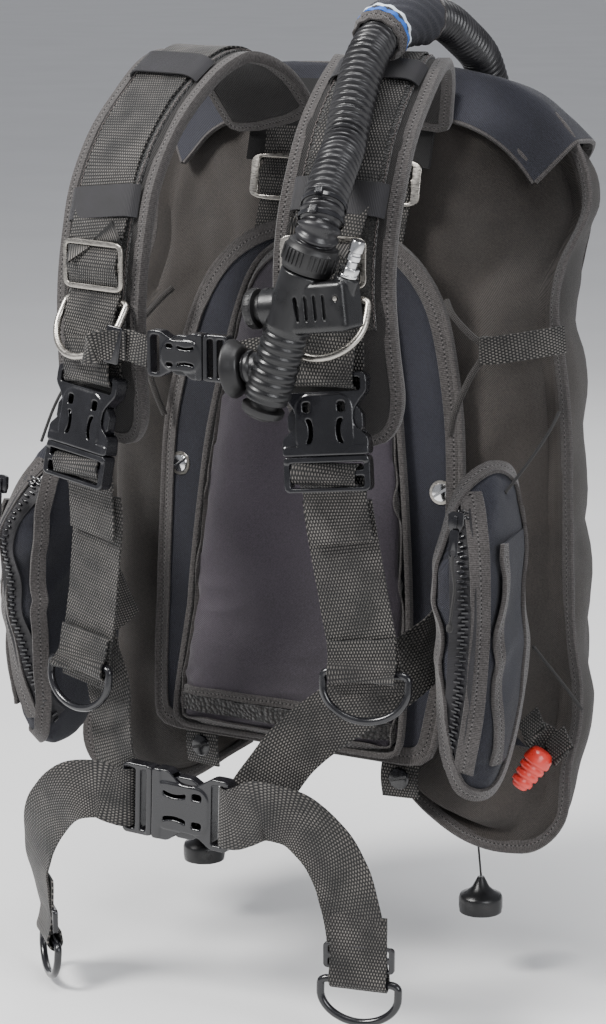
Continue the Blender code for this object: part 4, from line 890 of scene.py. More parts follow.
def wing():
    size = bpy.context.scene.vest_sizes.fold_depth

    def front_mask(t):
        puckers = 1.0 - 0.8 * max(0.0, 1 - abs(t - 1) / 0.05)
        return min(1.0, max(0.0, (t - 0.22) / 0.25)) * puckers

    rows = both_sides(front_places, 260)
    rows = folded(rows, size, 16, 24, 0.0006, front_mask)
    # A valley beside the bound edge, which makes the edge stand up
    share = np.linspace(0, 1, rows.shape[1])
    valley = 0.0075 * np.exp(-(((share - 0.90) / 0.045) ** 2))
    rows[..., 1] += valley * (1 - 0.5 * np.cos(np.linspace(0, 60, len(rows)))[:, None])
    # Drawn in where the side tab is sewn
    for side in (1, -1):
        tab = np.array((side * 0.158, -0.022, 0.106))
        far = np.linalg.norm(rows - tab, axis=2)
        rows[..., 1] += 0.006 * np.exp(-((far / 0.030) ** 2))
    front = cloth_grid("wing_front_cloth", rows, CLOTH, inward=1.0)
    kept(front, "cordura", nodes=("wing_front_shell",))

    def rear_mask(t):
        return min(1.0, max(0.0, (t - 0.30) / 0.25)) * min(1.0, (1 - t) / 0.06)

    rear_rows = both_sides(lambda index, side: [rear_place(index, side, a) for a in np.linspace(0, math.pi, 45)], 260)
    rear_rows = folded(rear_rows, -size * 1.1, 15, 15, 0.0007, rear_mask)
    rear = cloth_grid("wing_rear_cloth", rear_rows, CLOTH, inward=-1.0)
    kept(rear, "cordura", nodes=("wing_rear_shell", "air_bladder"))
    seam_binding(rows)
    rear_seams(rear_rows)
    return front, rear


def seam_binding(rows):
    """Tape folded over the seam between the front and rear cloth, standing a little proud of it."""
    edge = rows[:, -1]
    inside = rows[:, -5]
    outward = unit(edge - inside)
    lean = unit(outward + np.array((0, -0.55, 0)))
    centre = edge + lean * 0.0022
    for i in range(len(centre)):
        centre[i] += lean[i] * 0.0016 * noise.noise(Vector(centre[i]) * 30)
    trim("wing_seam_binding", centre, lean, (0.0105, 0.0030, 7))


def rear_seams(rows):
    """Sewn lines of the rear cloth: a raised seam round each lobe."""
    for column, name in ((30, "wing_rear_seam_outer"), (17, "wing_rear_seam_inner")):
        line = rows[:, column]
        out = -normals_of(rows)[:, column]
        out *= np.sign(np.sum(out * (line - rows.mean(axis=(0, 1))), axis=1, keepdims=True) + 1e-9)
        out[:, 1] = np.abs(out[:, 1])
        centre = line + unit(out) * 0.0010
        trim(name, centre, np.cross(unit(out), unit(np.gradient(centre, axis=0))), (0.006, 0.0014, 5))


def yoke_places(index, side):
    """The cap: down the front cloth, over the seam and down the rear."""
    inner, seam, _ = station(index, side)
    front = front_places(index, side, 40)
    outward = Vector((seam.x - inner.x, 0, seam.z - inner.z)).normalized()
    row = [front[step] + Vector((0, -0.0042, 0)) for step in (33, 36, 38)]
    row.append(seam + outward * 0.0020 + Vector((0, -0.0052, 0)))
    row.append(seam + outward * 0.0062 + Vector((0, -0.002, 0)))
    row += [rear_place(index, side, math.pi * turn, grow=0.0062) for turn in (0.9, 0.8, 0.7, 0.6)]
    return row


def yoke():
    rows = both_sides(yoke_places, 120, last=4)
    fine = []
    for row in rows:
        fine.append(smooth_run(row, count=36)[:, :3])
    rows = np.array(fine)
    count, columns = rows.shape[:2]
    out = normals_of(rows)
    for i in range(count):
        for k in range(columns):
            place = Vector(rows[i, k])
            edge = max(0.0, 1 - k / 10)
            hang = noise.noise(Vector((place.x * 22, 1.0, 0.0)))
            rows[i, k] += out[i, k] * 0.0022 * noise.noise(place * 28)
            rows[i, k, 1] -= edge * (0.008 + 0.008 * hang)
            rows[i, k, 2] -= edge * 0.007 * (0.4 + noise.noise(Vector((place.x * 14, 0.0, 3.0))))
    cap = cloth_grid("yoke_cap", rows, 0.0018, inward=-1.0)
    kept(cap, "packcloth", nodes=("yoke_panel",))
    edge = rows[:, 0]
    lean = unit(rows[:, 3] - rows[:, 0])
    trim("yoke_cap_binding", edge + lean * 0.002, lean, (0.009, 0.0032, 7))
    for end, name in ((0, "yoke_cap_end_left"), (-1, "yoke_cap_end_right")):
        edge = rows[end]
        lean = unit(rows[end + (3 if end == 0 else -3)] - edge)
        trim(name, edge + lean * 0.002, lean, (0.009, 0.0032, 7))


# ---------------------------------------------------------------- torso padding

PANEL_OUTLINE = [
    (0.096, -0.2052), (0.112, -0.2030), (0.1195, -0.194), (0.1235, -0.165), (0.1290, -0.112), (0.1290, -0.050),
    (0.1270, 0.025), (0.1180, 0.080), (0.1045, 0.126), (0.0860, 0.155), (0.0640, 0.173), (0.0400, 0.1835),
    (0.0150, 0.1880),
]  # fmt: skip
CUSHION_OUTLINE = [
    (0.082, -0.1998), (0.094, -0.1975), (0.0975, -0.186), (0.0965, -0.150), (0.0940, -0.090), (0.0890, -0.030),
    (0.0820, 0.030), (0.0720, 0.085), (0.0620, 0.127), (0.0500, 0.153), (0.0360, 0.1665), (0.0220, 0.1730),
    (0.0080, 0.1755),
]  # fmt: skip


def torso_front(z):
    """Front face of the panel: it leans forwards from the shoulder blades to the lumbar."""
    heights = [-0.21, -0.16, -0.11, 0.025, 0.128, 0.172, 0.20]
    return float(np.interp(z, heights, [-0.080, -0.070, -0.058, -0.049, -0.036, -0.033, -0.032]))


def padding(name, outline, thick, gap, crown, columns=41, count=90):
    """A pad whose front stands gap + crown before the panel's face; its border is pinched flat."""
    run = smooth_run([(half, z, 0.0) for half, z in outline], count=count)
    front, rear = [], []
    for number, (half, z, _) in enumerate(run):
        ends = 1 - abs(2 * number / (count - 1) - 1) ** 12
        first, last = [], []
        for share in np.linspace(-1, 1, columns):
            fat = math.sqrt(max(0.0, (1 - abs(share) ** 7) * ends))
            middle = torso_front(z) - gap + thick / 2
            first.append((share * half, middle - fat * (thick / 2 + crown * (1 - share**2)), z))
            last.append((share * half, middle + fat * (thick / 2) * 0.98, z))
        front.append(first)
        rear.append(last)
    return pillow(name, front, rear)


def outline_loop(outline, inset, y_of):
    """A closed line just inside an outline, from the bottom right round the top to the bottom left."""
    run = smooth_run([(half, z, 0.0) for half, z in outline], count=60)
    along = unit(np.gradient(run[:, :2], axis=0))
    inner = run[:, :2] + np.stack([-along[:, 1], along[:, 0]], axis=1) * inset
    right = [(half, y_of(z), z) for half, z in inner]
    left = [(-x, y, z) for x, y, z in reversed(right)]
    low = inner[0][1]
    corner = inner[0][0]
    bottom = [(x, y_of(low), low) for x in np.linspace(-corner, corner, 13)[1:-1]]
    return right + left + bottom


def torso():
    panel = padding("back_panel_pad", PANEL_OUTLINE, 0.0080, 0.0, 0.0)
    kept(panel, "packcloth", nodes=("back_panel",))
    cushion = padding("back_cushion", CUSHION_OUTLINE, 0.0110, 0.0118, 0.0050)
    puffed(cushion, 0.0048, 2.6, 0.0035)
    creased(cushion)
    kept(cushion, "cushion_nylon", nodes=("back_pad",))
    for name, piece, outline, width, inset in (
        ("panel", panel, PANEL_OUTLINE, 0.0125, 0.0050),
        ("cushion", cushion, CUSHION_OUTLINE, 0.0110, 0.0050),
    ):
        surface = Surface(piece)
        loop = outline_loop(outline, inset, torso_front)
        tape = laid_tape(
            name + "_binding", surface, loop, width, 0.0014, cyclic=True, from_side=(0, 1, 0), spacing=0.004
        )
        kept(tape, "binding")
        edge = outline_loop(outline, -0.0002, lambda z: torso_front(z) + (0.004 if name == "panel" else -0.0062))
        edge = np.array(edge)
        bead = swept(
            name + "_edge", edge, np.repeat([[0, 1.0, 0]], len(edge), axis=0), strip_ring(0.0062, 0.0040, 5), cyclic=True
        )
        kept(bead, "binding")
    surface = Surface(cushion)
    for name, z, width, finish in (
        ("cushion_mesh_strip", -0.1805, 0.0130, "spacer_mesh"),
        ("cushion_mesh_binding", -0.1705, 0.0070, "binding"),
    ):
        line = [(x, torso_front(z) - 0.015, z + 0.001 * math.cos(x * 30)) for x in np.linspace(-0.0915, 0.0915, 15)]
        kept(laid_tape(name, surface, line, width, 0.0016, from_side=(0, 1, 0)), finish)
    panel_screws(Surface(panel))
    return panel, cushion


def creased(cushion):
    """Draws soft wrinkles across the lower cushion and up from its corners."""
    mesh = cushion.data
    for vertex in mesh.vertices:
        x, _, z = vertex.co
        low = max(0.0, min(1.0, (-0.03 - z) / 0.13))
        bend = noise.noise(Vector((x * 14 + z * 22, z * 46 - x * 10, 1.7)))
        fine = noise.noise(Vector((x * 60, z * 90, 4.0)))
        vertex.co.y += low * (0.0050 * (abs(bend) - 0.3) + 0.0005 * fine) + 0.0012 * noise.noise(Vector((x, 0, z)) * 18)


def screw_head(name, place, facing, radius, finish, slot_angle=0.6):
    """A pan-head screw with one slot."""
    profile = [(0.97, 0.0), (1.0, 0.0006), (0.88, 0.0018), (0.5, 0.0026), (0.1, 0.0028)]
    piece = turned(name, [(radius * share, height) for share, height in profile], 40)
    cutter = block(name + "_slot", (radius * 2.4, radius * 0.28, 0.0024), (0, 0, 0.0030), turn=(0, 0, slot_angle))
    carved(piece, [cutter])
    smooth(piece, 35)
    z = Vector(facing).normalized()
    placed(piece, Matrix.Translation(Vector(place)) @ z.to_track_quat("Z", "Y").to_matrix().to_4x4())
    kept(piece, finish)


def panel_screws(surface):
    for side in (1, -1):
        name = "left" if side > 0 else "right"
        hit = surface.cast((side * 0.1130, -0.2, -0.004), (0, 1, 0))
        screw_head("panel_screw_" + name, hit[0], hit[1], 0.0072, "chromed")
        profile = [(0.0088, -0.0004), (0.0092, 0.0002), (0.0088, 0.0008), (0.0060, 0.0010)]
        washer = turned("panel_washer_" + name, profile, 40)
        placed(washer, Matrix.Translation(hit[0]) @ hit[1].to_track_quat("Z", "Y").to_matrix().to_4x4())
        kept(smooth(washer), "stainless")


# ---------------------------------------------------------------- shoulder straps

STRAP_SPLAY = math.radians(13)
STRAP_UNEVEN = 0.007
LOWER_UNEVEN = 0.012
WEB_WIDTH, WEB_THICK = 0.051, 0.0016
BELT_WIDTH = 0.044
SMALL_WEB_WIDTH = 0.0225
PAD_THICK, PAD_WIDTH = 0.009, 0.084
PAD_ROUTE = [
    ((0.052, -0.010, 0.262), 0.2), ((0.064, -0.032, 0.292), 0.3), ((0.076, -0.060, 0.307), 0.5),
    ((0.083, -0.086, 0.302), 0.7), ((0.088, -0.116, 0.282), 1.0), ((0.092, -0.142, 0.258), 1.0),
    ((0.095, -0.162, 0.227), 1.0), ((0.095, -0.174, 0.193), 1.0), ((0.096, -0.180, 0.155), 1.0),
    ((0.098, -0.178, 0.115), 1.0), ((0.100, -0.172, 0.078), 1.0), ((0.100, -0.163, 0.046), 1.0),
]  # fmt: skip
STRAP_LIFT = PAD_THICK / 2 + WEB_THICK / 2 + 0.0024
SLIDE_THICK, SLIDE_HALF_HEIGHT = 0.002, 0.018
SLIDE_PLACE = (0.0945, -0.193, 0.173)
STEEL_WIRE = 0.0026
BUCKLE_AXIS = Vector((-0.005, 0.005, 0.040)).normalized()
BUCKLE_MOUTH = (0.1025, -0.1995, 0.0405)


def side_name(side):
    return "left" if side > 0 else "right"


def across_at(side, splay):
    return (math.cos(splay), side * math.sin(splay), 0.0)


def strap_face(side):
    return Vector((side * math.sin(STRAP_SPLAY), -math.cos(STRAP_SPLAY), 0))


def strap_at(side, x, y, z):
    """A place on a strap: the left one is drawn a little shorter than the right one below the shoulder."""
    share = min(1.0, max(0.0, (0.30 - z) / 0.08))
    return Vector((side * x, y, z + side * STRAP_UNEVEN * share))


def lower_at(side, x, y, z):
    share = min(1.0, max(0.0, -z / 0.12))
    return Vector((side * x, y, z + side * (STRAP_UNEVEN + (LOWER_UNEVEN - STRAP_UNEVEN) * share)))


def pad_route(side, lift):
    return [(strap_at(side, *place), across_at(side, STRAP_SPLAY * share), lift) for place, share in PAD_ROUTE]


def pad_width(t):
    end = min(t / 0.02, (1 - t) / 0.10, 1.0)
    return 0.45 + 0.55 * math.sqrt(max(0.0, 1 - (1 - end) ** 2))


def pad_frame(side, spacing=0.003):
    run = smooth_run([(*place, *across) for place, across, _ in pad_route(side, 0)], spacing=spacing)
    centre = run[:, :3]
    _, across, outward = axes_along(centre, run[:, 3:6])
    width = np.array([pad_width(t) for t in np.linspace(0, 1, len(centre))]) * PAD_WIDTH
    return centre, across, outward, width


def shoulder_pad(side):
    name = side_name(side)
    centre, across, outward, width = pad_frame(side)
    front, rear = [], []
    for i, middle in enumerate(centre):
        ends = math.sqrt(max(0.0, 1 - abs(2 * i / (len(centre) - 1) - 1) ** 30))
        first, last = [], []
        for share in np.linspace(-1, 1, 25):
            fat = ends * math.sqrt(max(0.0, 1 - abs(share) ** 8)) * PAD_THICK / 2
            flat = middle + across[i] * share * width[i] / 2
            dip = 0.0010 * noise.noise(Vector(flat) * 40)
            channel = 0.0012 * math.exp(-(((abs(share) - 0.72) / 0.03) ** 2))
            first.append(flat + outward[i] * (fat - channel + dip * (fat > 0.001)))
            last.append(flat - outward[i] * (fat - dip * (fat > 0.001)))
        front.append(first)
        rear.append(last)
    pad = pillow("shoulder_pad_cloth_" + name, front, rear)
    kept(pad, "pad_cloth", nodes=("shoulder_pad_" + name,))
    # Tape folded over the whole edge
    loop, lean = [], []
    for i in range(len(centre)):
        loop.append(centre[i] + across[i] * (width[i] / 2 - 0.0035))
        lean.append(across[i])
    for i in reversed(range(len(centre))):
        loop.append(centre[i] - across[i] * (width[i] / 2 - 0.0035))
        lean.append(-across[i])
    trim("shoulder_pad_binding_" + name, loop, lean, (0.0105, 0.0082, 9), cyclic=True)
    span = slice(int(0.16 * len(centre)), int(0.80 * len(centre)))
    under = centre[span] + outward[span] * (PAD_THICK / 2 + 0.0004)
    trim("loop_strip_" + name, under, across[span], (0.0600, 0.0016, 9), "loop_pile")
    for share in (-1, 1):
        line = under + across[span] * share * 0.0282 + outward[span] * 0.0012
        zigzag = line + across[span] * (np.arange(len(line)) % 2)[:, None] * 0.0018 * share
        place = "outer" if share > 0 else "inner"
        kept(thread_row(f"loop_stitching_{name}_{place}", zigzag, outward[span], 0.0030, 0.9), "thread")
    shoulder_keepers(side, centre, across, outward)


def shoulder_keepers(side, centre, across, outward):
    """Two satin loops that hold the webbing to the pad."""
    name = side_name(side)
    for label, height, tilt in (("upper", 0.296, 0.05), ("lower", 0.212, -0.04)):
        wanted = height + side * STRAP_UNEVEN * min(1.0, max(0.0, (0.30 - height) / 0.08))
        late = len(centre) // 4
        i = late + int(np.argmin(np.abs(centre[late:, 2] - wanted)))
        along = np.cross(across[i], outward[i])
        route = []
        for share in np.linspace(-1, 1, 33):
            high = 0.0065 * (1 - abs(share) ** 9) + 0.0006
            place = centre[i] + across[i] * share * 0.0335 + along * (tilt * share * 0.03)
            route.append(place + outward[i] * (PAD_THICK / 2 + high))
        trim(f"strap_keeper_{label}_{name}", route, [along] * len(route), (0.0240, 0.0013, 9), "fine_webbing")


def shoulder_route(side):
    route = pad_route(side, STRAP_LIFT)[1:7]
    splay = across_at(side, STRAP_SPLAY)
    bar, slot = SLIDE_HALF_HEIGHT - 0.002, SLIDE_HALF_HEIGHT - 0.0098
    weave = SLIDE_THICK / 2 + WEB_THICK / 2 + 0.0008
    above = ((bar + 0.004, -weave - 0.0018), (bar - 0.0015, -weave - 0.0007), (slot, 0.0), (0.0, weave))
    below = ((-slot, 0.0), (0.0015 - bar, -weave), (-bar - 0.003, -weave))
    for height, lift in above + below:
        route.append((strap_at(side, *SLIDE_PLACE) + Vector((0, 0, height)), splay, lift))
    route.append((strap_at(side, 0.0955, -0.1955, 0.140), splay, 0.0))
    route.append((strap_at(side, 0.0970, -0.1965, 0.118), splay, 0.0))
    return route


def shoulder_webbing(side):
    name = side_name(side)
    piece = strap("shoulder_strap_" + name, shoulder_route(side), WEB_WIDTH, WEB_THICK, spacing=0.0016)
    kept(piece, "webbing", nodes=("shoulder_webbing_" + name,))
    # The strap's doubled end, sewn behind the slide, and the turn round the socket's bar
    splay = across_at(side, STRAP_SPLAY)
    drop = [(0.0970, -0.1966, 0.122), (0.0968, -0.1985, 0.111), (0.0966, -0.2006, 0.0990), (0.0966, -0.1990, 0.0905),
            (0.0966, -0.1925, 0.0878), (0.0966, -0.1858, 0.0905), (0.0968, -0.1842, 0.0990), (0.0970, -0.1850, 0.115),
            (0.0968, -0.1862, 0.136)]  # fmt: skip
    route = [(strap_at(side, *place), splay, 0) for place in drop]
    kept(strap("socket_turn_" + name, route, WEB_WIDTH * 0.90, WEB_THICK, spacing=0.0012), "webbing")


def slide(name, place, half, slot_half, node, slot_half_height=0.0058):
    """A flat steel tri-glide whose sides are drawn in beside its middle bar."""
    edge = []
    for step in range(96):
        angle = 2 * math.pi * (step + 0.5) / 96
        x = half * math.copysign(abs(math.cos(angle)) ** 0.28, math.cos(angle))
        z = SLIDE_HALF_HEIGHT * math.copysign(abs(math.sin(angle)) ** 0.28, math.sin(angle))
        if abs(x) > half * 0.8:
            x -= math.copysign(0.0034 * math.exp(-((z / 0.0046) ** 2)), x)
        edge.append((x, z))
    piece = slab(name, edge, SLIDE_THICK)
    cutters = []
    for sign in (1, -1):
        outline = rounded(slot_half, slot_half_height, 0.0025, centre=(0, sign * (SLIDE_HALF_HEIGHT - 0.0098)))
        cutters.append(slab(name + "_slot", outline, 0.02))
    carved(piece, cutters)
    bevelled(piece, 0.0006)
    smooth(piece, 50)
    placed(piece, place)
    kept(piece, "stainless", nodes=(node,))


def strap_slide(side):
    face = strap_face(side)
    place = frame_at(strap_at(side, *SLIDE_PLACE), (0, 0, 1), face)
    name = side_name(side)
    slide("shoulder_slide_" + name, place, WEB_WIDTH / 2 + 0.0055, WEB_WIDTH / 2 + 0.0012, "strap_slide_" + name)


def ring_line(half, drop, forward, corner=0.006, steps=40):
    """A D-ring from its straight bar: rounded shoulders and a half-round nose."""
    points = [(x, 0.0) for x in np.linspace(-half + corner, half - corner, 9)]
    points += [(half - corner + corner * math.sin(a), -corner * 0.6 * (1 - math.cos(a))) for a in (0.5, 1.0, 1.5)]
    for step in range(steps + 1):
        angle = math.pi * step / steps
        x = half * math.cos(angle) * (1.0 - 0.05 * math.sin(angle))
        points.append((x, -drop * (0.35 + 0.65 * math.sin(angle))))
    points += [(-half + corner - corner * math.sin(a), -corner * 0.6 * (1 - math.cos(a))) for a in (1.5, 1.0, 0.5)]
    run = smooth_run([(x, forward * (-z / drop), z) for x, z in [*points, points[0]]], count=121)
    return run[:-1, :3]


def ring(name, place, half, drop, forward, finish, body, node, wire=STEEL_WIRE):
    line = ring_line(half, drop, forward)
    normal = np.array((0.0, -drop, -forward)) / math.hypot(drop, forward)
    piece = swept(name, line, np.repeat([normal], len(line), axis=0), round_ring(wire, 16), cyclic=True)
    placed(piece, place)
    kept(piece, finish, body, nodes=(node,))
    return piece


def shoulder_d_ring(side):
    name = side_name(side)
    face = strap_face(side)
    bar = strap_at(side, 0.0950, -0.1928, 0.1475) - face * (WEB_THICK / 2 + STEEL_WIRE + 0.0012)
    body = "shoulder_d_ring_" + name
    half = WEB_WIDTH / 2 + STEEL_WIRE + 0.003
    ring("shoulder_ring_" + name, frame_at(bar, (0, 0, 1), face), half, 0.038, -0.024, "stainless", body, body)


# ---------------------------------------------------------------- side-release buckles

BUCKLE_HALF, BUCKLE_THICK, BUCKLE_WALL, BUCKLE_SIDE_WALL = 0.031, 0.012, 0.0015, 0.0034
FIT = 0.0005


def eased(outline, count=120):
    """An outline's corners drawn into curves."""
    closed = np.array([*outline, outline[0]])
    along = lengths_along(closed) / lengths_along(closed)[-1]
    dense = np.array([np.interp(np.linspace(0, 1, count + 1), along, c) for c in closed.T]).T[:-1]
    for _ in range(2):
        dense = (np.roll(dense, 1, axis=0) + 2 * dense + np.roll(dense, -1, axis=0)) / 4
    return [tuple(p) for p in dense]


def socket_solid(name, half, thick, length, web_width):
    waist = half * 0.68
    right = [(half, 0.0), (half, 0.21 * length), (half * 0.88, 0.27 * length), (waist, 0.36 * length)]
    right += [(waist, 0.54 * length), (half * 0.82, 0.66 * length), (half, 0.76 * length)]
    right += [(half, 0.97 * length), (half - 0.04 * length, length)]
    outline = eased(right + [(-x, z) for x, z in reversed(right)])
    body = slab(name, outline, thick - 0.0006)
    crown = slab(name + "_crown", rounded(waist * 0.96, 0.36 * length, 0.010, centre=(0, 0.38 * length)), thick + 0.0012)
    lip = slab(name + "_lip", rounded(half * 0.99, 0.055 * length, 0.002, centre=(0, 0.06 * length)), thick + 0.0010)
    slot_half = min(web_width / 2 + 0.001, half - 0.003)
    cutters = [slab(name + "_slot", rounded(slot_half, 0.080 * length, 0.0020, centre=(0, 0.855 * length)), 0.05)]
    inner = half - BUCKLE_SIDE_WALL * half / BUCKLE_HALF
    cutters.append(block(name + "_mouth", (2 * inner, thick - 2 * BUCKLE_WALL - 0.0002, 1.20 * length), (0, 0, 0)))
    for side in (1, -1):
        window = rounded(0.085 * half, 0.062 * length, 0.0014, centre=(side * 0.40 * half, 0.590 * length))
        cutters.append(slab(name + "_window", window, 0.05))
        arc = []
        for a in np.linspace(-0.95, 0.95, 15):
            arc.append((side * half * (0.36 + 0.22 * (1 - math.cos(a))), length * (0.30 + 0.19 * math.sin(a))))
        for a in np.linspace(0.85, -0.85, 15):
            arc.append((side * half * (0.27 + 0.15 * (1 - math.cos(a))), length * (0.30 + 0.19 * math.sin(a))))
        cutters.append(slab(name + "_crescent", arc[::side], 0.006, centre=-thick / 2))
    return moulded(name, [body, crown, lip], cutters, voxel=0.00062 if half > 0.02 else 0.0005)


def prongs(half, length):
    """Two sprung arms with thumb crescents, and a tongue between them, on one root."""
    outer = half - BUCKLE_SIDE_WALL * half / BUCKLE_HALF - FIT
    arm = 0.42 * half
    right = [(outer * 0.92, -0.003), (outer * 0.80, 0.30 * length), (outer, 0.55 * length), (outer, 0.82 * length)]
    right += [(outer * 0.84, length), (outer * 0.66, length), (outer * 0.76, 0.62 * length)]
    right += [(arm + 0.0015, 0.25 * length), (arm, 0.08 * length)]
    right += [(arm * 0.6, 0.08 * length), (arm * 0.45, 0.70 * length)]
    return right + [(-x, z) for x, z in reversed(right)]


def plug_solid(name, half, thick, base, prong, web_width):
    slot_half = min(web_width / 2 + 0.001, half - 0.003)
    middle = -base / 2
    body = slab(name, rounded(half, base / 2 - 0.0002, 0.16 * base, centre=(0, middle - 0.0002)), thick - 0.0012)
    rim = slab(name + "_rim", rounded(half * 0.97, 0.09 * base, 0.0015, centre=(0, -0.10 * base)), thick)
    comb = slab(name + "_prongs", prongs(half, prong), thick - 2 * BUCKLE_WALL - 2 * FIT)
    near = slab(name + "_near", rounded(slot_half, 0.105 * base, 0.0008, centre=(0, -0.30 * base)), 0.05)
    far = slab(name + "_far", rounded(slot_half, 0.150 * base, 0.0008, centre=(0, -0.725 * base)), 0.05)
    return moulded(name, [body, rim, comb], [near, far], voxel=0.00062 if half > 0.02 else 0.0005)


def buckle(label, place, half, thick, lengths, web_width, socket_node, plug_node, plug_body, shown):
    """lengths: socket, plug base, prongs."""
    socket_piece = socket_solid(shown + "_socket" + label, half, thick, lengths[0], web_width)
    kept(placed(socket_piece, place), "acetal", nodes=(socket_node,))
    plug_piece = plug_solid(shown + "_plug" + label, half, thick, lengths[1], lengths[2], web_width)
    kept(placed(plug_piece, place), "acetal", plug_body, nodes=(plug_node,))


def shoulder_buckle(side):
    name = side_name(side)
    up = Vector((side * BUCKLE_AXIS.x, BUCKLE_AXIS.y, BUCKLE_AXIS.z))
    face = strap_face(side)
    place = frame_at(strap_at(side, *BUCKLE_MOUTH), up, face)
    nodes = ("shoulder_buckle_socket_" + name, "shoulder_buckle_plug_" + name)
    lengths = (0.057, 0.025, 0.034)
    body = "shoulder_plug_" + name
    buckle("_" + name, place, BUCKLE_HALF, BUCKLE_THICK, lengths, WEB_WIDTH, *nodes, body, "strap_buckle")


# ---------------------------------------------------------------- lower straps and waist belt

WAIST_MOUTH = Vector((-0.048, -0.190, -0.2265))
WAIST_AXIS = Vector((1.0, 0.0, -0.03)).normalized()
LEFT_BELT = [
    ((0.134, -0.090, -0.090), (0.00, 0.2, 1.0)), ((0.139, -0.122, -0.104), (-0.10, 0.2, 1.0)),
    ((0.122, -0.146, -0.124), (-0.35, 0.1, 1.0)), ((0.086, -0.158, -0.150), (-0.60, 0.0, 0.85)),
    ((0.056, -0.165, -0.177), (-0.70, 0.0, 0.70)), ((0.038, -0.1735, -0.204), (-0.45, 0.0, 0.90)),
    ((0.0255, -0.1798, -0.2235), (-0.10, 0.0, 1.0)), ((0.0150, -0.1812, -0.2282), (0.03, 0.0, 1.0)),
    ((0.0095, -0.1862, -0.2282), (0.03, 0.0, 1.0)), ((0.0095, -0.1938, -0.2282), (0.03, 0.0, 1.0)),
    ((0.0150, -0.1982, -0.2282), (0.03, 0.0, 1.0)), ((0.0240, -0.2005, -0.2270), (0.05, 0.0, 1.0)),
    ((0.034, -0.2025, -0.2225), (0.20, 0.0, 1.0)), ((0.052, -0.2040, -0.2150), (0.45, 0.0, 0.9)),
    ((0.080, -0.1990, -0.2210), (0.85, 0.1, 0.7)), ((0.105, -0.1950, -0.246), (1.00, 0.2, 0.3)),
    ((0.119, -0.1930, -0.284), (1.00, 0.2, 0.0)), ((0.1235, -0.1900, -0.328), (1.00, 0.2, -0.05)),
]  # fmt: skip
RIGHT_BELT = [
    ((-0.136, -0.090, -0.098), (0.00, 0.2, 1.0)), ((-0.139, -0.122, -0.116), (0.10, 0.2, 1.0)),
    ((-0.121, -0.148, -0.140), (0.45, 0.1, 0.9)), ((-0.107, -0.160, -0.162), (0.70, 0.0, 0.7)),
    ((-0.099, -0.170, -0.186), (0.60, 0.0, 0.8)), ((-0.0915, -0.1765, -0.208), (0.30, 0.0, 1.0)),
    ((-0.0820, -0.1785, -0.222), (0.05, 0.0, 1.0)),
]  # fmt: skip
RIGHT_TAIL = [
    ((-0.0800, -0.1820, -0.2256), (0.03, 0.0, 1.0)), ((-0.0716, -0.1820, -0.2258), (0.03, 0.0, 1.0)),
    ((-0.0666, -0.1862, -0.2259), (0.03, 0.0, 1.0)), ((-0.0666, -0.1938, -0.2259), (0.03, 0.0, 1.0)),
    ((-0.0716, -0.1982, -0.2258), (0.03, 0.0, 1.0)), ((-0.0800, -0.2002, -0.2245), (0.00, 0.0, 1.0)),
    ((-0.094, -0.2025, -0.2215), (-0.10, 0.0, 1.0)), ((-0.118, -0.2030, -0.228), (-0.50, 0.1, 0.8)),
    ((-0.143, -0.1960, -0.252), (-0.85, 0.2, 0.5)), ((-0.157, -0.1880, -0.284), (-0.85, 0.5, 0.2)),
    ((-0.157, -0.1820, -0.318), (-0.75, 0.65, 0.05)), ((-0.151, -0.1800, -0.346), (-0.72, 0.70, 0.0)),
]  # fmt: skip


def lower_webbing(side):
    name = side_name(side)
    splay = across_at(side, STRAP_SPLAY)
    places = [(0.1010, -0.1840, 0.006), (0.1020, -0.1800, -0.014), (0.1100, -0.1760, -0.068), (0.1180, -0.1740, -0.112)]
    places += [(0.1205, -0.1720, -0.128), (0.1215, -0.1690, -0.140)]
    route = [(lower_at(side, *place), splay, 0) for place in places]
    kept(strap("lower_strap_" + name, route, WEB_WIDTH, WEB_THICK), "webbing", nodes=("lower_webbing_" + name,))
    # Round the plug's bar and back down the front, and the sewn return over the ring
    top = [(0.1016, -0.1880, 0.010), (0.1018, -0.1895, 0.0220), (0.1020, -0.1935, 0.0320), (0.1024, -0.2005, 0.0350),
           (0.1028, -0.2062, 0.0330), (0.1028, -0.2080, 0.0275), (0.1026, -0.2050, 0.0218), (0.1022, -0.1970, 0.0195),
           (0.1022, -0.1905, 0.0120), (0.1030, -0.1868, -0.0060), (0.1050, -0.1838, -0.0250)]  # fmt: skip
    route = [(lower_at(side, *place), splay, 0) for place in top]
    turn = strap("plug_turn_" + name, route, WEB_WIDTH * 0.90, WEB_THICK, spacing=0.0012)
    kept(turn, "webbing", "shoulder_plug_" + name)
    end = [(0.1165, -0.1775, -0.098), (0.1183, -0.1788, -0.113), (0.1195, -0.1828, -0.1195), (0.1205, -0.1822, -0.1265),
           (0.1210, -0.1770, -0.1275)]  # fmt: skip
    route = [(lower_at(side, *place), splay, 0) for place in end]
    kept(strap("ring_turn_" + name, route, WEB_WIDTH * 0.98, WEB_THICK), "webbing")


def lower_d_ring(side):
    name = side_name(side)
    face = strap_face(side)
    bar = lower_at(side, 0.1200, -0.1735, -0.122) + face * (WEB_THICK / 2 + STEEL_WIRE + 0.0012)
    half = WEB_WIDTH / 2 + STEEL_WIRE + 0.003
    body = "lower_d_ring_" + name
    ring("lower_ring_" + name, frame_at(bar, (0, 0, 1), face), half, 0.034, -0.004, "acetal", body, body, wire=0.0028)


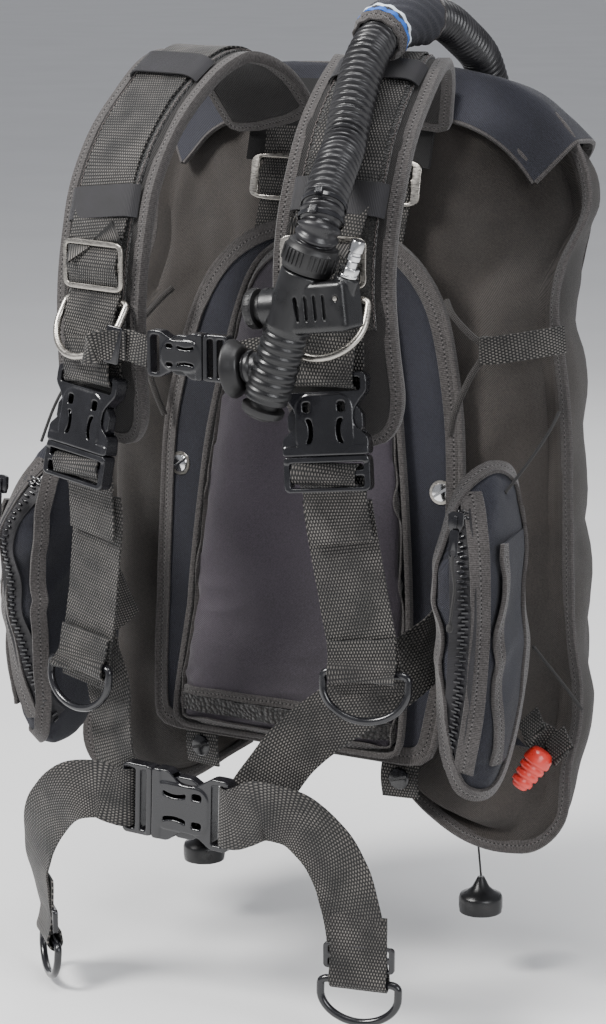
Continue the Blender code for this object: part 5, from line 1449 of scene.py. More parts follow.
def belts():
    for name, route, body, node in (
        ("waist_belt_left", LEFT_BELT, HARNESS, "waist_webbing_left"),
        ("waist_belt_right", RIGHT_BELT, HARNESS, "waist_webbing_right"),
        ("waist_tail_strap", RIGHT_TAIL, "waist_plug", "waist_tail_right"),
    ):
        route = [(place, across, 0.0) for place, across in route]
        kept(strap(name, route, BELT_WIDTH, WEB_THICK, ripple=0.0004), "webbing", body, nodes=(node,))


def waist_buckle():
    place = frame_at(WAIST_MOUTH, WAIST_AXIS, (0, -1, 0))
    nodes = ("waist_buckle_socket", "waist_buckle_plug")
    buckle("", place, 0.027, 0.012, (0.066, 0.026, 0.040), BELT_WIDTH, *nodes, "waist_plug", "belt_buckle")


def waist_d_ring(side):
    name = side_name(side)
    place, across = (LEFT_BELT if side > 0 else RIGHT_TAIL)[-1]
    across = Vector((across[0], across[1], 0)).normalized()
    front = Vector((0, 0, -1)).cross(across) if side > 0 else Vector((0, 0, 1)).cross(across)
    matrix = frame_at(Vector(place) + Vector((0, 0, -0.0065)), (0, 0, 1), front)
    body = "waist_d_ring_" + name
    piece = ring("tail_ring_" + name, matrix, BELT_WIDTH / 2 + 0.007, 0.030, -0.002, "acetal", body, body, wire=0.0029)
    # The belt's end is doubled over the ring's bar and held by a slotted slide
    holder = "waist_plug" if side < 0 else HARNESS
    down = np.array((0, 0, -1.0))
    base, face = np.array(place), np.array(Vector(front).normalized())
    turn = [base + face * 0.0022 - down * 0.044, base + face * 0.0024 - down * 0.020,
            base + face * 0.0040 - down * 0.004,
            base + face * 0.0060 + down * 0.0060, base + face * 0.0010 + down * 0.0118,
            base - face * 0.0040 + down * 0.0070,
            base - face * 0.0030 - down * 0.003]  # fmt: skip
    route = [(p, tuple(across), 0) for p in turn]
    kept(strap("tail_turn_" + name, route, BELT_WIDTH * 0.97, WEB_THICK), "webbing", holder)
    outline = rounded(BELT_WIDTH / 2 + 0.0045, 0.0095, 0.003)
    glide = slab("tail_slide_" + name, outline, 0.0040)
    slots = [slab("cut", rounded(BELT_WIDTH / 2 + 0.0006, 0.0026, 0.001, centre=(0, s * 0.0046)), 0.02) for s in (1, -1)]
    carved(glide, slots)
    bevelled(glide, 0.0008)
    smooth(glide)
    placed(glide, frame_at(Vector(place) + Vector((0, 0, 0.012)) + Vector(front) * 0.0012, (0, 0, 1), front))
    kept(glide, "acetal", holder)
    return piece


# ---------------------------------------------------------------- sternum strap

STERNUM_MOUTH = Vector((0.010, -0.209, 0.110))


def sternum():
    place = frame_at(STERNUM_MOUTH, (-1, 0, 0), (0, -1, 0))
    nodes = ("sternum_buckle_socket", "sternum_buckle_plug")
    buckle("", place, 0.0165, 0.010, (0.046, 0.020, 0.027), 0.025, *nodes, "sternum_plug", "chest_buckle")
    end = STERNUM_MOUTH + Vector((-0.0476, 0, 0))
    right = [(end, (0, 0, 1), 0), (end + Vector((-0.008, 0.0002, 0.001)), (0, 0, 1), 0)]
    right += [((-0.054, -0.2080, 0.113), (0.1, 0, 1), 0), ((-0.0645, -0.2090, 0.1135), (0.2, 0, 1), 0)]
    piece = strap("chest_strap_right", right, SMALL_WEB_WIDTH, WEB_THICK, spacing=0.001)
    kept(piece, "webbing", nodes=("sternum_webbing_right",))
    # The loop round the ring's nose and the doubled run back to its slide
    loop = [(-0.0560, -0.2105, 0.1132), (-0.0640, -0.2130, 0.1132), (-0.0740, -0.2180, 0.1125),
            (-0.0800, -0.2205, 0.1105),
            (-0.0855, -0.2170, 0.1095), (-0.0840, -0.2095, 0.1100), (-0.0760, -0.2060, 0.1120),
            (-0.0620, -0.2055, 0.1130)]  # fmt: skip
    route = [(Vector(p), (0.25, 0.0, 1), 0) for p in loop]
    turn = strap("chest_loop_right", route, SMALL_WEB_WIDTH * 0.95, WEB_THICK, spacing=0.001)
    kept(turn, "webbing", body=None)
    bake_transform(turn)
    glide = slab("chest_slide", rounded(0.0135, 0.0065, 0.002), 0.0030)
    smooth(bevelled(glide, 0.0008))
    kept(placed(glide, frame_at((-0.0655, -0.2118, 0.1132), (-1, 0, 0.15), (0.2, -1, 0))), "acetal")
    plug_end = STERNUM_MOUTH + Vector((0.020, 0.009, 0))
    left = [(plug_end + Vector((0.002, 0, 0)), (0, 0, 1), 0), ((0.042, -0.1995, 0.113), (0, 0, 1), 0)]
    left += [((0.050, -0.1995, 0.1145), (0, 0, 1), 0), ((0.0585, -0.1995, 0.116), (0, 0, 1), 0)]
    piece = strap("chest_strap_left", left, SMALL_WEB_WIDTH, WEB_THICK, spacing=0.001)
    kept(piece, "webbing", nodes=("sternum_webbing_left",))


# ---------------------------------------------------------------- neck


def neck():
    width = 0.128
    places = [(-0.0228, 0.146), (-0.0200, 0.172), (-0.0131, 0.1975), (-0.0124, 0.2015), (-0.0110, 0.2085)]
    places += [(-0.0096, 0.216), (-0.0082, 0.2235), (-0.0068, 0.2305), (-0.0061, 0.2345), (0.0, 0.254)]
    over = SLIDE_THICK / 2 + WEB_THICK / 2 + 0.0008
    lifts = [0, 0, -over, -over, 0, over, 0, -over, -over, 0]
    route = [((0, y, z), (1.0, 0, 0), -lift) for (y, z), lift in zip(places, lifts)]
    kept(strap("neck_strap", route, width, WEB_THICK), "webbing", nodes=("neck_webbing",))
    place = frame_at((0, -0.0096, 0.216), (0, 0.187, 1), (0, -1, 0))
    slide("neck_slide_plate", place, width / 2 + 0.009, width / 2 + 0.0015, "neck_slide", 0.0060)
    rows = []
    for z in np.linspace(0.228, 0.288, 14):
        y = np.interp(z, [0.228, 0.250, 0.270, 0.288], [-0.002, 0.004, 0.014, 0.030])
        rows.append([(x, y - 0.006 * (x / 0.08) ** 2, z) for x in np.linspace(-0.078, 0.078, 25)])
    kept(cloth_grid("neck_lining", np.array(rows), 0.0025, inward=1.0), "lining")


# ---------------------------------------------------------------- hose and inflator

HOSE_RADIUS = 0.015
HOSE_PITCH = 0.0054
HOSE_END = Vector((0.1138, -0.2382, 0.199))
INFLATOR_AXIS = Vector((-0.315, -0.03, -0.949)).normalized()
HOSE_ROUTE = [
    (0.1150, -0.2260, 0.2260), (0.1100, -0.2045, 0.2430), (0.1030, -0.1785, 0.2590), (0.0970, -0.1560, 0.2845),
    (0.0895, -0.1210, 0.3160), (0.0840, -0.0760, 0.3350), (0.0810, -0.0230, 0.3385), (0.0800, 0.0120, 0.3340),
    (0.0785, 0.0440, 0.3220), (0.0770, 0.0760, 0.3060), (0.0760, 0.0935, 0.2870), (0.0760, 0.0975, 0.2700),
]  # fmt: skip
COLLAR_LENGTH, BARREL_LENGTH, BUTTON_TRAVEL, BUTTON_STEM = 0.020, 0.094, 0.004, 0.0095
COUPLING_X, BOSS_FACE, MOUTH_FACE, HEAD_TILT = 0.0305, -0.023, -0.0236, math.radians(-26)
BARREL_TOP = -COLLAR_LENGTH - 0.0004


def hose_line(spacing):
    rear = Vector(HOSE_ROUTE[-1])
    places = [HOSE_END, HOSE_END - INFLATOR_AXIS * 0.012, *(Vector(p) for p in HOSE_ROUTE[:-1])]
    return smooth_run([*places, rear + Vector((0, 0, 0.008)), rear], spacing=spacing)[:, :3]


def hose():
    """The corrugated breathing hose from the inflator's collar over the shoulder to the cap's elbow."""
    line = hose_line(HOSE_PITCH / 8)
    length = lengths_along(line)
    rings = []
    for along in length:
        wave = math.cos(2 * math.pi * along / HOSE_PITCH)
        height = 0.5 + 0.5 * math.copysign(abs(wave) ** 0.55, wave)
        rings.append(round_ring(HOSE_RADIUS - 0.0021 + 0.0023 * height, 28))
    piece = swept("breathing_hose", line, carried(line, (0, 1.0, 0)), np.array(rings))
    smooth(piece, 80)
    kept(piece, "hose_rubber", nodes=("inflator_hose",))
    hose_wrap(line, length)
    for number, along in enumerate((0.0160, 0.0268)):
        cable_tie(f"hose_tie_{number + 1}", line, length, along)
    elbow = from_cad("hose_elbow", "cap_elbow", 0.0009, 3)
    kept(elbow, "abs", nodes=("hose_elbow",))


def hose_frame(line, length, along):
    i = int(np.searchsorted(length, along))
    forward = Vector(line[min(i + 1, len(line) - 1)] - line[max(i - 1, 0)]).normalized()
    return Vector(line[i]), forward


def cable_tie(name, line, length, along):
    centre, forward = hose_frame(line, length, along)
    turn = forward.to_track_quat("Z", "Y").to_matrix().to_4x4()
    matrix = Matrix.Translation(centre) @ turn
    angles = np.linspace(0, 2 * math.pi, 49)[:-1]
    radius = HOSE_RADIUS + 0.0003
    loop = [(radius * math.cos(a), radius * math.sin(a), 0) for a in angles]
    band = swept(name, loop, [(0, 0, 1)] * len(loop), strip_ring(0.0030, 0.0011, 5), cyclic=True)
    lock = block(name + "_lock", (0.0052, 0.0048, 0.0050), (0, radius + 0.0016, 0), bevel=0.0007)
    kept(placed(joined([band, lock], name), matrix), "acetal")


def hose_wrap(line, length):
    """A padded wrap closed under the hose, with bound ends and a pale striped tag."""
    start, end = 0.455 * length[-1], 0.655 * length[-1]
    chosen = [i for i, along in enumerate(length) if start <= along <= end][::3]
    centre = line[chosen]
    side = carried(centre, (1.0, 0, 0))
    up = np.cross(unit(np.gradient(centre, axis=0)), side)
    up *= np.sign(np.sum(up * (0, -0.5, 1.0), axis=1, keepdims=True))
    rows = []
    for i, place in enumerate(centre):
        row = []
        for turn in np.linspace(-math.pi / 2 + 0.04, 1.5 * math.pi - 0.04, 53):
            spot = Vector(place + up[i] * math.sin(turn) * 0.02 + side[i] * math.cos(turn) * 0.02)
            swell = 0.0012 * noise.noise(spot * 45) + 0.0006 * math.sin(12 * turn + 40 * i / len(centre))
            border = min(1.0, i / 3, (len(centre) - 1 - i) / 3)
            radius = HOSE_RADIUS + 0.0010 + 0.0022 * border + swell * border
            row.append(place + radius * (math.cos(turn) * side[i] + math.sin(turn) * up[i]))
        rows.append(row)
    rows = np.array(rows)
    wide = float(lengths_along(rows[len(rows) // 2])[-1])
    tall = float(lengths_along(rows[:, 26])[-1])
    wrap = cloth_grid("hose_wrap_cloth", rows, 0.0012, inward=1.0)
    mended(wrap, 0.00001)
    kept(wrap, "packcloth", nodes=("hose_wrap",))
    for end_row, label in ((1, "front"), (-2, "rear")):
        edge = rows[end_row]
        lean = unit(rows[end_row + (2 if end_row > 0 else -2)] - edge)
        out = unit(edge - centre[end_row])
        trim("hose_wrap_binding_" + label, edge + out * 0.0010, lean, (0.0085, 0.0022, 5))
    for label, offset, width, finish in (("blue", 0.0085, 0.0050, "tag_blue"), ("white", 0.0140, 0.0036, "tag_white")):
        i = int(np.argmin(np.abs(lengths_along(centre) - offset)))
        edge = rows[i, 4:44]
        out = unit(edge - centre[i])
        along = unit(np.gradient(centre, axis=0))[i]
        size = (width, 0.0008, 5)
        trim("hose_wrap_tag_" + label, edge + out * 0.0011, [along] * len(edge), size, finish)
    size = (round(wide, 3), round(tall, 3))


def inflator_matrices():
    frame_matrix = frame_at(HOSE_END, -INFLATOR_AXIS, (0, -1, 0))
    tilt = Matrix.Rotation(HEAD_TILT, 4, "Y")
    head = frame_matrix @ Matrix.Translation((0, 0, BARREL_TOP - 0.025)) @ tilt
    mouth = frame_matrix @ Matrix.Translation((0, 0, BARREL_TOP - BARREL_LENGTH + 0.0250)) @ tilt
    return frame_matrix, head, mouth


def collar(matrix):
    """The ribbed nut: ribs in groups round a smooth neck."""
    inner = HOSE_RADIUS + 0.0022
    profile = [(inner * 0.90, -0.0002), (inner, -0.0010), (inner + 0.0004, -0.0036), (inner + 0.0012, -0.0046),
               (inner + 0.0012, -0.0156), (inner + 0.0002, -0.0172), (inner, -0.0194),
               (inner * 0.93, -0.0199)]  # fmt: skip
    piece = turned("collar_ring", list(reversed(profile)), 96)
    ribs = []
    for step in range(36):
        if step % 6 == 5:
            continue
        angle = 2 * math.pi * step / 36
        spot = ((inner + 0.0013) * math.cos(angle), (inner + 0.0013) * math.sin(angle), -0.0101)
        ribs.append(block("rib", (0.0014, 0.0015, 0.0100), spot, bevel=0.0004, segments=2, turn=(0, 0, angle)))
    piece = joined([piece, *ribs], "collar_ring")
    smooth(piece, 35)
    kept(placed(piece, matrix), "moulded_rubber", nodes=("collar_nut",))


def inflator_shell(matrix, head, mouth):
    """One moulding: ridged barrel, head block, button boss, mouth port and coupling saddle."""
    bottom = BARREL_TOP - BARREL_LENGTH
    profile = [(0.0150, BARREL_TOP), (0.0166, BARREL_TOP - 0.0012)]
    profile += [(0.0166, BARREL_TOP - 0.040), (0.0154, BARREL_TOP - 0.0430)]
    for step in range(7):
        z = BARREL_TOP - 0.0450 - 0.0066 * step
        profile += [(0.0150, z), (0.0161, z - 0.0012), (0.0161, z - 0.0038), (0.0150, z - 0.0050)]
    profile += [(0.0150, bottom + 0.0008), (0.0144, bottom)]
    barrel = placed(turned("inflator_barrel", list(reversed(profile)), 80), matrix)
    head_block = placed(block("head", (0.044, 0.027, 0.034), (0.023, 0, -0.002), bevel=0.0042, segments=5), head)
    # The boss stops short of its nominal face, so the pressed button clears it
    boss = placed(round_bar("boss", 0.0135, 0.0214, (-0.0117, 0, 0), turn=LYING, bevel=0.0008, sides=64), head)
    length = -MOUTH_FACE - 0.004
    port = placed(round_bar("port", 0.0105, length, (-0.004 - length / 2, 0, 0), turn=LYING, sides=64), mouth)
    collar_ring = round_bar("port_ring", 0.0122, 0.004, (-0.0185, 0, 0), turn=LYING, bevel=0.0006, sides=64)
    placed(collar_ring, mouth)
    saddle = placed(round_bar("saddle", 0.0085, 0.020, (COUPLING_X, 0, BARREL_TOP - 0.002), sides=64), matrix)
    cutters = [
        placed(round_bar("bore", BUTTON_STEM + 0.0008, 0.014, (BOSS_FACE + 0.0060, 0, 0), turn=LYING), head),
        placed(round_bar("bore", BUTTON_STEM + 0.0008, 0.016, (0, 0, bottom + 0.0060)), matrix),
        placed(round_bar("bore", 0.0065, 0.019, (MOUTH_FACE + 0.0070, 0, 0), turn=LYING), mouth),
        placed(round_bar("screw", 0.0019, 0.006, (0.0385, -0.0135, 0.0035), turn=(math.pi / 2, 0, 0)), head),
    ]
    for step in range(4):
        spot = (0.0085 + 0.0068 * step, -0.0135, -0.0020)
        cutters.append(placed(block("slot", (0.0022, 0.0050, 0.0170), spot, bevel=0.0008), head))
    solids = [barrel, head_block, boss, port, collar_ring, saddle]
    piece = moulded("inflator_shell", solids, cutters, voxel=0.00062, rounds=4)
    modified(piece, "DECIMATE", ratio=0.6)
    smooth(piece, 60)
    kept(piece, "abs", nodes=("inflator_body",))
    return bottom


def inflator():
    matrix, head, mouth = inflator_matrices()
    collar(matrix)
    bottom = inflator_shell(matrix, head, mouth)
    # Inflate button with a knurled rim
    stem = 0.0068
    profile = [(BUTTON_STEM - 0.0002, -stem), (BUTTON_STEM, -0.0002), (0.0132, 0.0002), (0.0137, 0.0010),
               (0.0137, 0.0052),
               (0.0128, 0.0068), (0.0100, 0.0074), (0.0096, 0.0066), (0.0050, 0.0064), (0.0046, 0.0072),
               (0.0020, 0.0074)]  # fmt: skip
    button = turned("inflate_cap", profile, 72)
    ribs = []
    for step in range(24):
        a = 2 * math.pi * step / 24
        spot = (0.01365 * math.cos(a), 0.01365 * math.sin(a), 0.0031)
        ribs.append(block("rib", (0.0008, 0.0013, 0.0044), spot, bevel=0.0003, segments=2, turn=(0, 0, a)))
    button = joined([button, *ribs], "inflate_cap")
    spot = Matrix.Translation((BOSS_FACE - BUTTON_TRAVEL - 0.0004, 0, 0)) @ Matrix.Rotation(-math.pi / 2, 4, "Y")
    kept(placed(smooth(button), head @ spot), "moulded_rubber", "inflate_button", nodes=("inflate_button",))
    # End button with a raised ring
    profile = [(0.0024, -0.0068), (0.0060, -0.0070), (0.0064, -0.0080), (0.0094, -0.0080), (0.0098, -0.0071),
               (0.0122, -0.0066),
               (0.0142, -0.0050), (0.0149, -0.0028), (0.0149, -0.0006), (0.0140, -0.0001), (BUTTON_STEM, 0.0),
               (BUTTON_STEM - 0.0002, 0.0064 + BUTTON_TRAVEL)]  # fmt: skip
    end = smooth(turned("exhaust_cap", profile, 72), 30)
    spot = Matrix.Translation((0, 0, bottom - BUTTON_TRAVEL - 0.0004))
    kept(placed(end, matrix @ spot), "moulded_rubber", "exhaust_button", nodes=("exhaust_button",))
    mouth_ring(mouth)
    coupling(matrix)
    screw = turned("head_screw", [(0.0016, 0.0), (0.0016, 0.0010), (0.0006, 0.0012)], 20)
    spot = head @ Matrix.Translation((0.0385, -0.0128, 0.0035)) @ Matrix.Rotation(math.pi / 2, 4, "X")
    kept(placed(smooth(screw), spot), "stainless")


def mouth_ring(mouth):
    """The flared mouthpiece, open through its middle."""
    face = MOUTH_FACE - 0.0004
    ring_line = [(0.0067, face), (0.0080, face - 0.0030), (0.0105, face - 0.0062), (0.0150, face - 0.0100),
                 (0.0172, face - 0.0112),
                 (0.0192, face - 0.0112), (0.0205, face - 0.0102), (0.0202, face - 0.0086), (0.0178, face - 0.0052),
                 (0.0158, face - 0.0028), (0.0146, face - 0.0004), (0.0132, face)]  # fmt: skip
    sides = 72
    places, faces = [], []
    for step in range(sides):
        a = 2 * math.pi * step / sides
        for k, (radius, x) in enumerate(ring_line):
            places.append((x, radius * math.cos(a) * (0.94 if k > 3 else 1.0), radius * math.sin(a)))
    n = len(ring_line)
    for step in range(sides):
        after = (step + 1) % sides
        for k in range(n):
            m = (k + 1) % n
            faces.append((step * n + k, step * n + m, after * n + m, after * n + k))
    piece = mesh_piece("mouth_flare", places, faces)
    mended(piece)
    modified(piece, "SUBSURF", levels=1, render_levels=1)
    kept(placed(smooth(piece, 70), mouth), "moulded_rubber", nodes=("mouthpiece",))


def coupling(matrix):
    """The quick-connect nipple: hexagon, grooved plug and its dark dust cap."""
    base = BARREL_TOP + 0.008 + 0.0004
    profile = [(0.0040, 0.0066), (0.0040, 0.0108), (0.0050, 0.0120), (0.0050, 0.0150), (0.0043, 0.0158),
               (0.0043, 0.0172),
               (0.0050, 0.0180), (0.0050, 0.0236), (0.0042, 0.0256)]  # fmt: skip
    stem = turned("coupling_stem", profile, 40)
    hexagon = round_bar("hexagon", 0.0068, 0.0056, (0, 0, 0.0038), bevel=0.0005, sides=6)
    seat = round_bar("seat", 0.0066, 0.0022, (0, 0, 0.0011), bevel=0.0004, sides=40)
    piece = joined([stem, hexagon, seat], "coupling_nipple")
    smooth(piece, 35)
    spot = matrix @ Matrix.Translation((COUPLING_X, 0, base))
    kept(placed(piece, spot), "chromed", nodes=("hose_coupling",))


# ---------------------------------------------------------------- pockets and zips

POCKET_SIZE = (0.040, 0.094, 0.232)
POCKET_CENTRE = (0.181, -0.117, -0.092)
POCKET_UNEVEN = 0.006
POCKET_BORDER = [
    (0.1860, -0.108, 0.026), (0.1700, -0.140, 0.012), (0.1620, -0.160, -0.020), (0.1600, -0.170, -0.070),
    (0.1605, -0.172, -0.120), (0.1650, -0.170, -0.168), (0.1760, -0.160, -0.198), (0.1900, -0.140, -0.206),
    (0.2010, -0.118, -0.190), (0.2040, -0.098, -0.150), (0.2050, -0.086, -0.100), (0.2050, -0.080, -0.050),
    (0.2020, -0.082, 0.000), (0.1960, -0.092, 0.022),
]  # fmt: skip
ZIP_LINE = [
    (0.1800, -0.172, 0.020), (0.1885, -0.174, 0.004), (0.1930, -0.173, -0.030), (0.1945, -0.174, -0.070),
    (0.1935, -0.176, -0.112), (0.1900, -0.176, -0.150), (0.1820, -0.172, -0.186),
]  # fmt: skip


def pocket_form(side):
    """The CAD pillow's own cage, blown up, drawn in to a tip at its ends and creased."""
    clear()
    bpy.ops.mesh.primitive_cube_add(size=1)
    piece = bpy.context.object
    name = "cargo_pocket_" + side_name(side)
    piece.name = piece.data.name = name
    piece.scale = POCKET_SIZE
    settle(piece)
    in_edit(piece, lambda: bpy.ops.mesh.subdivide(number_cuts=2))
    modified(piece, "SUBSURF", levels=3, render_levels=3)
    half = POCKET_SIZE[2] / 2
    for vertex in piece.data.vertices:
        high = vertex.co.z / half
        top, low = max(0.0, high - 0.45) / 0.55, max(0.0, -high - 0.40) / 0.60
        vertex.co.y += (0.047 - vertex.co.y) * 0.55 * top**1.4
        vertex.co.y += (-0.030 - vertex.co.y) * 0.62 * low**1.5
        vertex.co.x *= 1 - 0.35 * max(top, low) ** 2
    piece.location = (side * POCKET_CENTRE[0], POCKET_CENTRE[1], POCKET_CENTRE[2] + side * POCKET_UNEVEN)
    piece.rotation_euler = (math.radians(6), 0, side * math.radians(10))
    settle(piece)
    puffed(piece, 0.0042, 3.0, 0.0030, shrink=-0.02)
    centre = Vector((side * POCKET_CENTRE[0], POCKET_CENTRE[1], POCKET_CENTRE[2]))
    for vertex in piece.data.vertices:
        x, y, z = vertex.co
        out = (vertex.co - centre).normalized()
        high = (z - centre.z) / half
        slant = 1 - 2 * abs(noise.noise(Vector((side * x * 9 + z * 8, y * 16 + 2.0, z * 22 - y * 14))))
        crease = 0.0052 * (slant - 0.55) + 0.0022 * noise.noise(vertex.co * 30) + 0.0006 * noise.noise(vertex.co * 90)
        vertex.co += Vector((out.x, out.y, 0)) * crease * min(1.0, 1.35 - abs(high) * 0.6)
    return piece


def pocket(side):
    name = side_name(side)
    piece = pocket_form(side)
    kept(piece, "packcloth", nodes=("pocket_" + name,))
    surface = Surface(piece)
    lift = side * POCKET_UNEVEN
    toward = Vector((-side * 0.45, 1.0, 0))

    def line(offset):
        return [(side * (x + offset), y, z + lift) for x, y, z in ZIP_LINE]

    for label, offset, width, thick, finish, lifted in (
        ("zip_tape", 0.0, 0.0190, 0.0010, "fine_webbing", 0.0002),
        ("grey_band", 0.0125, 0.0150, 0.0016, "binding", 0.0006),
    ):
        label = f"pocket_{label}_{name}"
        tape = laid_tape(label, surface, line(offset), width, thick, lifted, spacing=0.004, from_side=toward)
        kept(tape, finish)
    zipper(side, surface, line)
    # Tape folded over the border, from the top round the tip
    border = [(side * x, y, z + lift) for x, y, z in POCKET_BORDER]
    edge = laid_tape("pocket_border_" + name, surface, border, 0.0125, 0.0026, 0.0004, cyclic=True, spacing=0.004)
    kept(edge, "binding")
    flap(side, surface, lift)


def flap(side, surface, lift):
    """The outer panel's loose fold over the zip's lower half."""
    name = side_name(side)
    rows = []
    for t in np.linspace(0, 1, 30):
        row = []
        z = -0.020 - 0.160 * t + lift
        for s in np.linspace(0, 1, 14):
            x = side * (0.2045 - 0.006 * s)
            y = -0.090 - 0.058 * s - 0.006 * math.sin(math.pi * t) * s
            hit = surface.cast((side * 0.26, y, z), (-side, 0.12, 0), 0.2)
            place = np.array(hit[0]) if hit else np.array((x, y, z))
            lift_off = 0.0012 + 0.0055 * s**2 * (0.6 + 0.4 * math.sin(5 * t + 1))
            row.append(place + np.array((side * 0.9, -0.35, 0)) * lift_off)
        rows.append(row)
    rows = np.array(rows)
    cloth = cloth_grid("pocket_flap_" + name, rows, 0.0018, inward=1.0 if side > 0 else -1.0)
    kept(cloth, "packcloth")
    edge = rows[:, -1]
    lean = unit(rows[:, -3] - rows[:, -1])
    border = trim("pocket_flap_binding_" + name, edge + lean * 0.003, lean, (0.0100, 0.0032, 7))


def zipper(side, surface, line):
    """Moulded teeth, interleaved, along the pocket's front edge."""
    name = side_name(side)
    toward = Vector((-side * 0.45, 1.0, 0))
    run = smooth_run(line(0.0), spacing=0.0030)[:, :3]
    places, out = [], []
    for point in run:
        hit = surface.cast(Vector(point) - toward * 0.06, toward, 0.2) or surface.nearest(point)
        places.append(np.array(hit[0]))
        out.append(np.array(hit[1]))
    places, out = np.array(places), unit(np.array(out))
    for _ in range(4):
        places[1:-1] = (places[:-2] + 2 * places[1:-1] + places[2:]) / 4
        out = unit(np.vstack([out[:1], out[:-2] + out[1:-1] + out[2:], out[-1:]]))
    along = unit(np.gradient(places, axis=0))
    across = np.cross(out, along)
    tooth = block("tooth", (0.0050, 0.0020, 0.0017), bevel=0.0005, segments=2)
    teeth = []
    for i, place in enumerate(places):
        shift = 0.0012 if i % 2 else -0.0012
        centre = place + out[i] * 0.0022 + across[i] * shift
        turn = Matrix((Vector(across[i]), Vector(out[i]), Vector(along[i]))).transposed().to_4x4()
        teeth.append(copy_of(tooth, f"tooth_{i}", Matrix.Translation(Vector(centre)) @ turn))
    bpy.data.objects.remove(tooth)
    row = joined(teeth, "zip_teeth_" + name)
    in_edit(row, lambda: bpy.ops.mesh.normals_make_consistent(inside=False))
    kept(smooth(row), "acetal")


def zip_slider(side):
    """Slider body with its bridge and a pull tab."""
    name = side_name(side)
    top = Vector((side * 0.190, -0.1765, side * POCKET_UNEVEN))
    matrix = frame_at(top, (0, 0.10, 1), (side * 0.2, -1, 0))
    outline = [(0.0035, -0.0068), (0.0053, -0.0020), (0.0053, 0.0055), (0.0030, 0.0069), (-0.0030, 0.0069),
               (-0.0053, 0.0055),
               (-0.0053, -0.0020), (-0.0035, -0.0068)]  # fmt: skip
    body = slab("slider", outline, 0.0034)
    bridge = block("bridge", (0.0026, 0.0022, 0.0090), (0, -0.0022, 0), bevel=0.0006)
    tab = slab("tab", rounded(0.0032, 0.0100, 0.0025, centre=(0, -0.0150)), 0.0014, centre=-0.0036)
    carved(tab, [slab("eye", rounded(0.0015, 0.0022, 0.0013, centre=(0, -0.0215)), 0.01)])
    piece = joined([body, bridge, tab], "slider_" + name)
    bevelled(piece, 0.0004, 2)
    kept(placed(smooth(piece), matrix), "acetal", "zip_slider_" + name, nodes=("zip_slider_" + name,))
    start = matrix @ Vector((0, -0.0040, -0.0235))
    points = [start, start + Vector((side * 0.0010, -0.0025, -0.006)), start + Vector((side * 0.0035, -0.0035, -0.020)),
              start + Vector((side * 0.0015, -0.0030, -0.036)),
              start + Vector((side * -0.0005, -0.0025, -0.048))]  # fmt: skip
    cord, line = cord_piece("zip_cord_" + name, points, 0.0011)
    kept(cord, "cord_nylon", "zip_slider_" + name)
    profile = [(0.0010, 0.0), (0.0022, 0.0012), (0.0025, 0.0032), (0.0021, 0.0052), (0.0009, 0.0062)]
    spot = Matrix.Translation(Vector(line[-1]) - Vector((0, 0, 0.005)))
    end = placed(smooth(turned("zip_knot_" + name, profile, 20)), spot)
    kept(end, "cord_nylon", "zip_slider_" + name)


# ---------------------------------------------------------------- side tabs, bungees, pulls and cords


def bungee_set(side):
    """A ribbed webbing tab with a V of braided bungee from the panel's side."""
    name = side_name(side)
    lift = 0.0 if side > 0 else -0.006
    cord_line = [(0.117, -0.052, 0.138), (0.1255, -0.058, 0.1285), (0.139, -0.057, 0.1155), (0.1475, -0.053, 0.1085),
                 (0.150, -0.050, 0.104), (0.1475, -0.0535, 0.0990), (0.139, -0.0585, 0.083), (0.1290, -0.0600, 0.0585),
                 (0.123, -0.056, 0.040)]  # fmt: skip
    points = [(side * x, y, z + lift) for x, y, z in cord_line]
    cord, line = cord_piece("side_bungee_" + name, points, 0.0024, sides=14)
    kept(cord, "bungee")
    tab_line = [(0.1475, -0.0470, 0.1040, 0), (0.1455, -0.0530, 0.1040, 0), (0.1490, -0.0570, 0.1045, 0),
                (0.1600, -0.0560, 0.1060, 0.1),
                (0.1740, -0.0500, 0.1085, 0.2), (0.1900, -0.0330, 0.1110, 0.2),
                (0.1960, -0.0200, 0.1120, 0.2)]  # fmt: skip
    route = [((side * x, y, z + lift), (0, lean, 1), 0) for x, y, z, lean in tab_line]
    kept(strap("side_tab_" + name, route, 0.0200, 0.0022, spacing=0.0015), "webbing")


def knob(side):
    """A cone-and-disc pull on a thin cord."""
    name = side_name(side)
    profile = [(0.0130, -0.0108), (0.0162, -0.0098), (0.0168, -0.0060), (0.0168, 0.0012), (0.0160, 0.0036),
               (0.0110, 0.0058),
               (0.0066, 0.0098), (0.0040, 0.0150), (0.0026, 0.0178)]  # fmt: skip
    place = Vector((side * 0.125, 0.0, -0.330))
    body = "dump_pull_" + name
    ball = smooth(turned("pull_knob_" + name, profile, 56), 50)
    kept(placed(ball, Matrix.Translation(place)), "abs", body, nodes=("dump_knob_" + name,))
    low = place + Vector((0, 0, 0.0184))
    high = Vector((side * 0.125, -0.008, -0.272))
    points = [tuple(high.lerp(low, t)) for t in np.linspace(0, 1, 8)]
    cord, line = cord_piece("pull_cord_" + name, points, 0.0008, spacing=0.0015)
    kept(cord, "cord_nylon", body, nodes=("dump_cord_" + name,))


def dump_valve(side):
    name = side_name(side)
    piece = from_cad("dump_valve_" + name, "valve_cover_" + name, 0.0010, 3)
    kept(piece, "abs", nodes=("dump_valve_" + name,))


